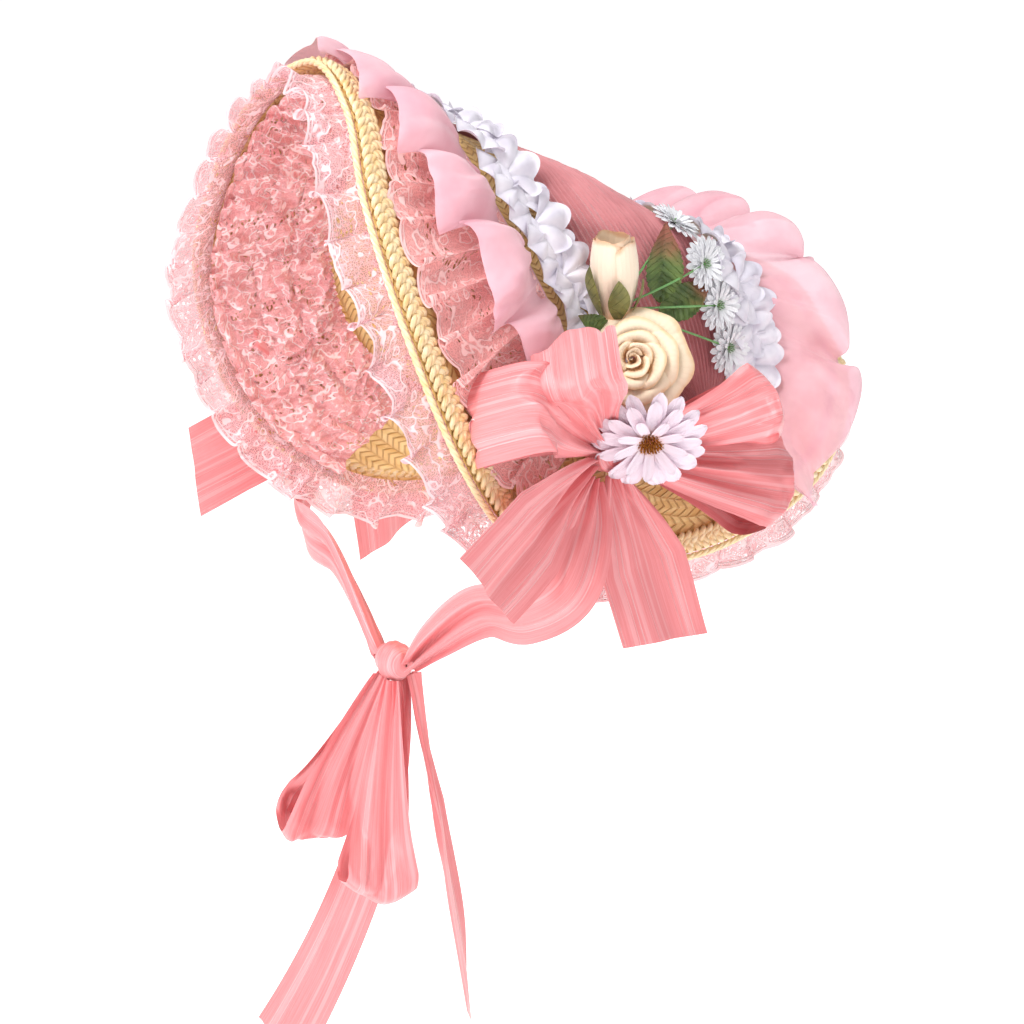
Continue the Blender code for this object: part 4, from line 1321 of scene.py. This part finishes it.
# angle round the bud, half width, girth, height, flare
BUD_PETALS = (
    (0.4, 1.9, 0.80, 1.02, 0.00),
    (3.3, 1.9, 0.86, 1.00, 0.02),
    (5.2, 1.25, 0.93, 1.00, 0.05),
    (1.2, 1.20, 0.97, 0.98, 0.09),
    (3.2, 1.15, 1.00, 0.96, 0.12),
)


def bud_petal(foot, axes, middle, half, girth, tall, flare, seed):
    """A long petal wrapped round the bud with its lip turned out."""
    down, lean = leaned_grid(16, 15)
    angle = middle + lean * half
    body = 0.32 + 0.83 * np.sin(math.pi * (0.10 + 0.66 * down))
    out = BUD_RADIUS * girth * (body + flare * down**7 - 0.05 * np.abs(lean) * (1.0 - down))
    high = BUD_LENGTH * tall * down * (1.0 - 0.07 * np.abs(lean) ** 2.5 * down)
    high = high + 0.0006 * np.sin(6.0 * lean + seed) * down**3
    return opened(foot, axes, angle, out, high)


def pointed_sepal(foot, axes, middle, seed):
    down, lean = leaned_grid(18, 7)
    width = 0.52 * np.sin(math.pi * (0.14 + 0.86 * down)) ** 0.8 * (1.0 - 0.35 * down)
    angle = middle + lean * width + 0.25 * math.sin(seed) * down**2
    body = 0.40 + 0.86 * np.sin(math.pi * (0.10 + 0.55 * down))
    out = BUD_RADIUS * (body * 1.05 + 0.16 * down**4)
    high = BUD_LENGTH * (0.02 + (0.58 + 0.12 * math.sin(seed * 2.0)) * down)
    return opened(foot, axes, angle, out, high)


def leafy(name, green, dark, tip, length):
    """Waxed leaf cloth: side veins, mottled green and a red-brown tip."""
    finish = Finish(name)
    along, down = finish.lengths()
    share = along.fraction() / length
    side_veins = abs(((along + abs(down - 0.010) * 0.8) * (math.pi / VEIN_PITCH)).wave())
    cloud = finish.noise(finish.place(), 150.0, 4.0)
    colour = finish.mix(cloud.step(0.3, 0.7), dark, green)
    colour = finish.mix((share + cloud * 0.4).step(0.72, 1.15), colour, tip)
    colour = finish.mix(side_veins.step(0.16, 0.04) * 0.22, colour, tint(140, 156, 88))
    finish.paint(
        Base_Color=colour,
        Roughness=0.42 + cloud * 0.2,
        Normal=finish.bump(side_veins.step(0.0, 0.35) + cloud * 0.3, 0.0004),
    )
    return finish


bud_finish = silk_petals(
    "bud_silk", tint(252, 232, 208), tint(238, 196, 150), tint(226, 174, 128), 0.05, 0.0026
)
bud_axes = flower_axes(BUD_AXIS)
bud_foot = on_brim(BUD_PLACE)
bud_grids = [
    bud_petal(bud_foot, bud_axes, *petal, number + 1.0) for number, petal in enumerate(BUD_PETALS)
]
piece("furled_bud", bud_grids, bud_finish, "rosebud", cut=PETAL_CUT)
leaf_finish = leafy(
    "leaf_cloth", tint(106, 128, 66), tint(68, 90, 44), tint(142, 84, 66), 0.044
)
sepal_finish = leafy(
    "sepal_cloth", tint(138, 138, 76), tint(100, 102, 52), tint(140, 90, 58), 0.030
)
sepal_grids = [
    pointed_sepal(bud_foot, bud_axes, 0.5 + 2.0 * math.pi * number / SEPAL_COUNT, number)
    for number in range(SEPAL_COUNT)
]
stem_line = bud_foot + bud_axes[0] * np.linspace(-0.006, 0.006, 8)[:, None]
stem_up = np.broadcast_to(bud_axes[1], stem_line.shape)
sepal_grids.append(tube(stem_line, stem_up, BUD_STEM_RADIUS, BUD_STEM_RADIUS, 8))
piece("bud_cup", sepal_grids, sepal_finish, "rosebud_sepals")


# Leaves. Stamped green cloth with a saw-toothed edge, folded on the midrib,
# with a reddened tip.
LEAF_LENGTH = 0.042
LEAF_WIDTH = 0.022
LEAF_TEETH = 15.0
LEAF_QUILT = 0.0006
# place on the brim, way from foot to tip, facing, share of the leaf's size
LEAVES = (
    ((0.190, -0.20, 0.0176), (0.05, 0.10, 1.0), (1.0, -0.3, 0.1), 1.00),
    ((0.197, -0.17, 0.0150), (0.10, 0.85, 0.42), (0.9, -0.2, 0.4), 0.90),
    ((0.175, 0.12, 0.0142), (0.25, -0.75, 0.50), (0.9, -0.4, 0.4), 0.62),
)


def leaf_cloth(place, along, facing, share):
    foot = on_brim(place)
    length = LEAF_LENGTH * share
    along = unit(np.array(along))
    across = unit(np.cross(along, unit(np.array(facing))))
    facing = np.cross(across, along)
    side, run = grid_of(13, 73)
    teeth = 1.0 - 0.09 * ((run * LEAF_TEETH) % 1.0) * np.abs(2.0 * side - 1.0) ** 4
    half_width = 0.5 * LEAF_WIDTH * share * (0.04 + 0.96 * np.sin(math.pi * run**0.8)) * teeth
    offset = (2.0 * side - 1.0) * half_width
    quilt = LEAF_QUILT * np.cos(2.0 * math.pi * (run * 10.0 + 2.5 * np.abs(side - 0.5)))
    lift = np.abs(offset) * 0.35 - length * 0.12 * run**2 + quilt * (1.0 - run)
    point = foot + along * (length * run)[..., None]
    return point + across * offset[..., None] + facing * lift[..., None]


for number, values in enumerate(LEAVES, 1):
    piece("toothed_leaf_%d" % number, [leaf_cloth(*values)], leaf_finish,
          "leaf_%d" % number)


# Daisies. A large pale lilac daisy hangs under the rose, its strap petals in
# three layers round a ginger heart. Four small white ones stand behind the bud
# on thin green wire stems.
DAISY_RADIUS = 0.027
DAISY_PLACE = (0.215, 0.40, 0.0396)
DAISY_FACING = (0.80, -0.50, -0.40)
SMALL_DAISY_RADIUS = 0.0120
DAISY_STEM_RADIUS = 0.0006
DAISY_STEM_SAG = 0.006
GOLDEN_ANGLE = 2.39996
# layers of petals: count, reach, rise, curl
DAISY_LAYERS = ((15, 1.14, 0.16, 0.24), (13, 1.00, 0.30, 0.22), (9, 0.72, 0.52, 0.10))
SMALL_LAYERS = ((19, 1.28, 0.20, 0.16), (16, 1.10, 0.38, 0.14), (12, 0.80, 0.62, 0.06))
# share of the way to the left ear, share of the way back, height over the straw
SMALL_DAISIES = (
    (0.33, 0.83, 0.0058),
    (0.45, 0.86, 0.0072),
    (0.57, 0.84, 0.0074),
    (0.70, 0.86, 0.0076),
)


def strap_petal(centre, axes, radius, angle, width, rise, curl, seed):
    """One long round-tipped petal with two grooves."""
    facing, right, up = axes
    down, lean = leaned_grid(12, 7)
    half = width * radius * (0.30 + 0.70 * np.sin(math.pi * np.minimum(0.10 + 0.62 * down, 1.0)))
    tip = np.sqrt(np.clip(1.0 - np.maximum(down - 0.82, 0.0) ** 2 / 0.035, 0.05, 1.0))
    out = radius * (0.10 + 0.90 * down)
    groove = 0.018 * radius * np.cos(lean * 7.0)
    lift = radius * (rise * down - curl * down**2.5) + groove + 0.03 * radius * math.sin(seed * 2.1)
    spread = right * math.cos(angle) + up * math.sin(angle)
    across_way = up * math.cos(angle) - right * math.sin(angle)
    bend = 0.05 * radius * math.sin(seed * 1.7) * down**2
    return (
        centre
        + spread * out[..., None]
        + across_way * (lean * half * tip + bend)[..., None]
        + facing * lift[..., None]
    )


def daisy_bloom(centre, facing, radius, layers, width):
    """Layers of petals: each row gives their number, reach, rise and curl."""
    axes = flower_axes(facing)
    grids = []
    for layer, (count, reach, rise, curl) in enumerate(layers):
        for number in range(count):
            angle = 2.0 * math.pi * (number + 0.37 * layer) / count + 0.04 * math.sin(number * 3.3)
            grids.append(strap_petal(centre, axes, radius * reach, angle, width, rise, curl,
                                     number + 5.0 * layer))
    return grids


def floret_heart(centre, facing, radius, florets):
    """A heart of little florets set in a sunflower spiral."""
    facing, right, up = flower_axes(facing)
    grids = []
    for number in range(florets):
        share = math.sqrt((number + 0.5) / florets)
        angle = number * GOLDEN_ANGLE
        spot = (right * math.cos(angle) + up * math.sin(angle)) * radius * share
        tall = radius * (0.75 - 0.30 * share)
        line = centre + spot + facing * (np.linspace(0.0, 1.0, 4) * tall)[:, None]
        line = line + spot * np.linspace(0.0, 0.25, 4)[:, None]
        stout = radius * 0.10
        grids.append(tube(line, np.broadcast_to(right, line.shape), stout, stout, 5))
    return grids


lilac_finish = silk_petals(
    "lilac_silk", tint(245, 228, 240), tint(238, 184, 168), tint(251, 240, 250), 0.12, 0.0030
)
daisy_centre = on_brim(DAISY_PLACE)
daisy_grids = daisy_bloom(daisy_centre, DAISY_FACING, DAISY_RADIUS, DAISY_LAYERS, 0.145)
piece("lilac_daisy", daisy_grids, lilac_finish, "daisy_petals", cut=PETAL_CUT)


def speckled(name, scale, edges, dark, light, roughness, depth):
    """Two tones in small clouds, parted between the edges, with a fine bump."""
    finish = Finish(name)
    cloud = finish.noise(finish.place(), scale, 2.0)
    share = cloud.step(*edges) if edges else cloud
    colour = finish.mix(share, dark, light)
    finish.paint(Base_Color=colour, Roughness=roughness, Normal=finish.bump(cloud, depth))
    return finish


floret_finish = speckled(
    "ginger_florets", 900.0, (0.35, 0.65), tint(150, 84, 30), tint(226, 158, 66), 0.8, 0.0004
)
heart_grids = floret_heart(daisy_centre, DAISY_FACING, DAISY_RADIUS * 0.22, 60)
piece("daisy_florets", heart_grids, floret_finish, "daisy_heart")

white_silk_finish = silk_petals(
    "white_silk", tint(247, 247, 251), tint(216, 222, 208), tint(250, 250, 255), 0.10, 0.0050
)
wire_finish = speckled(
    "green_wire", 300.0, None, tint(84, 146, 78), tint(140, 190, 120), 0.5, 0.0003
)
stem_root = bud_foot + bud_axes[0] * 0.004
for number, (across, back, height) in enumerate(SMALL_DAISIES, 1):
    across, back = np.array(across), np.array(back)
    facing = away_from_head(crown, across, back)
    middle = lifted(crown, across, back, height)
    grids = daisy_bloom(middle, facing, SMALL_DAISY_RADIUS, SMALL_LAYERS, 0.125)
    piece("white_daisy_%d" % number, grids, white_silk_finish,
          "small_daisy_%d" % number, cut=PETAL_CUT)
    share = np.linspace(0.0, 1.0, 24)[:, None]
    sag = np.sin(math.pi * share) * DAISY_STEM_SAG
    line = stem_root + (middle - stem_root) * share + facing * sag
    stem_up = np.broadcast_to(facing, line.shape)
    grids = [tube(line, stem_up, DAISY_STEM_RADIUS, DAISY_STEM_RADIUS)]
    grids += floret_heart(middle + facing * 0.001, facing, SMALL_DAISY_RADIUS * 0.20, 14)
    piece("daisy_stem_%d" % number, grids, wire_finish)
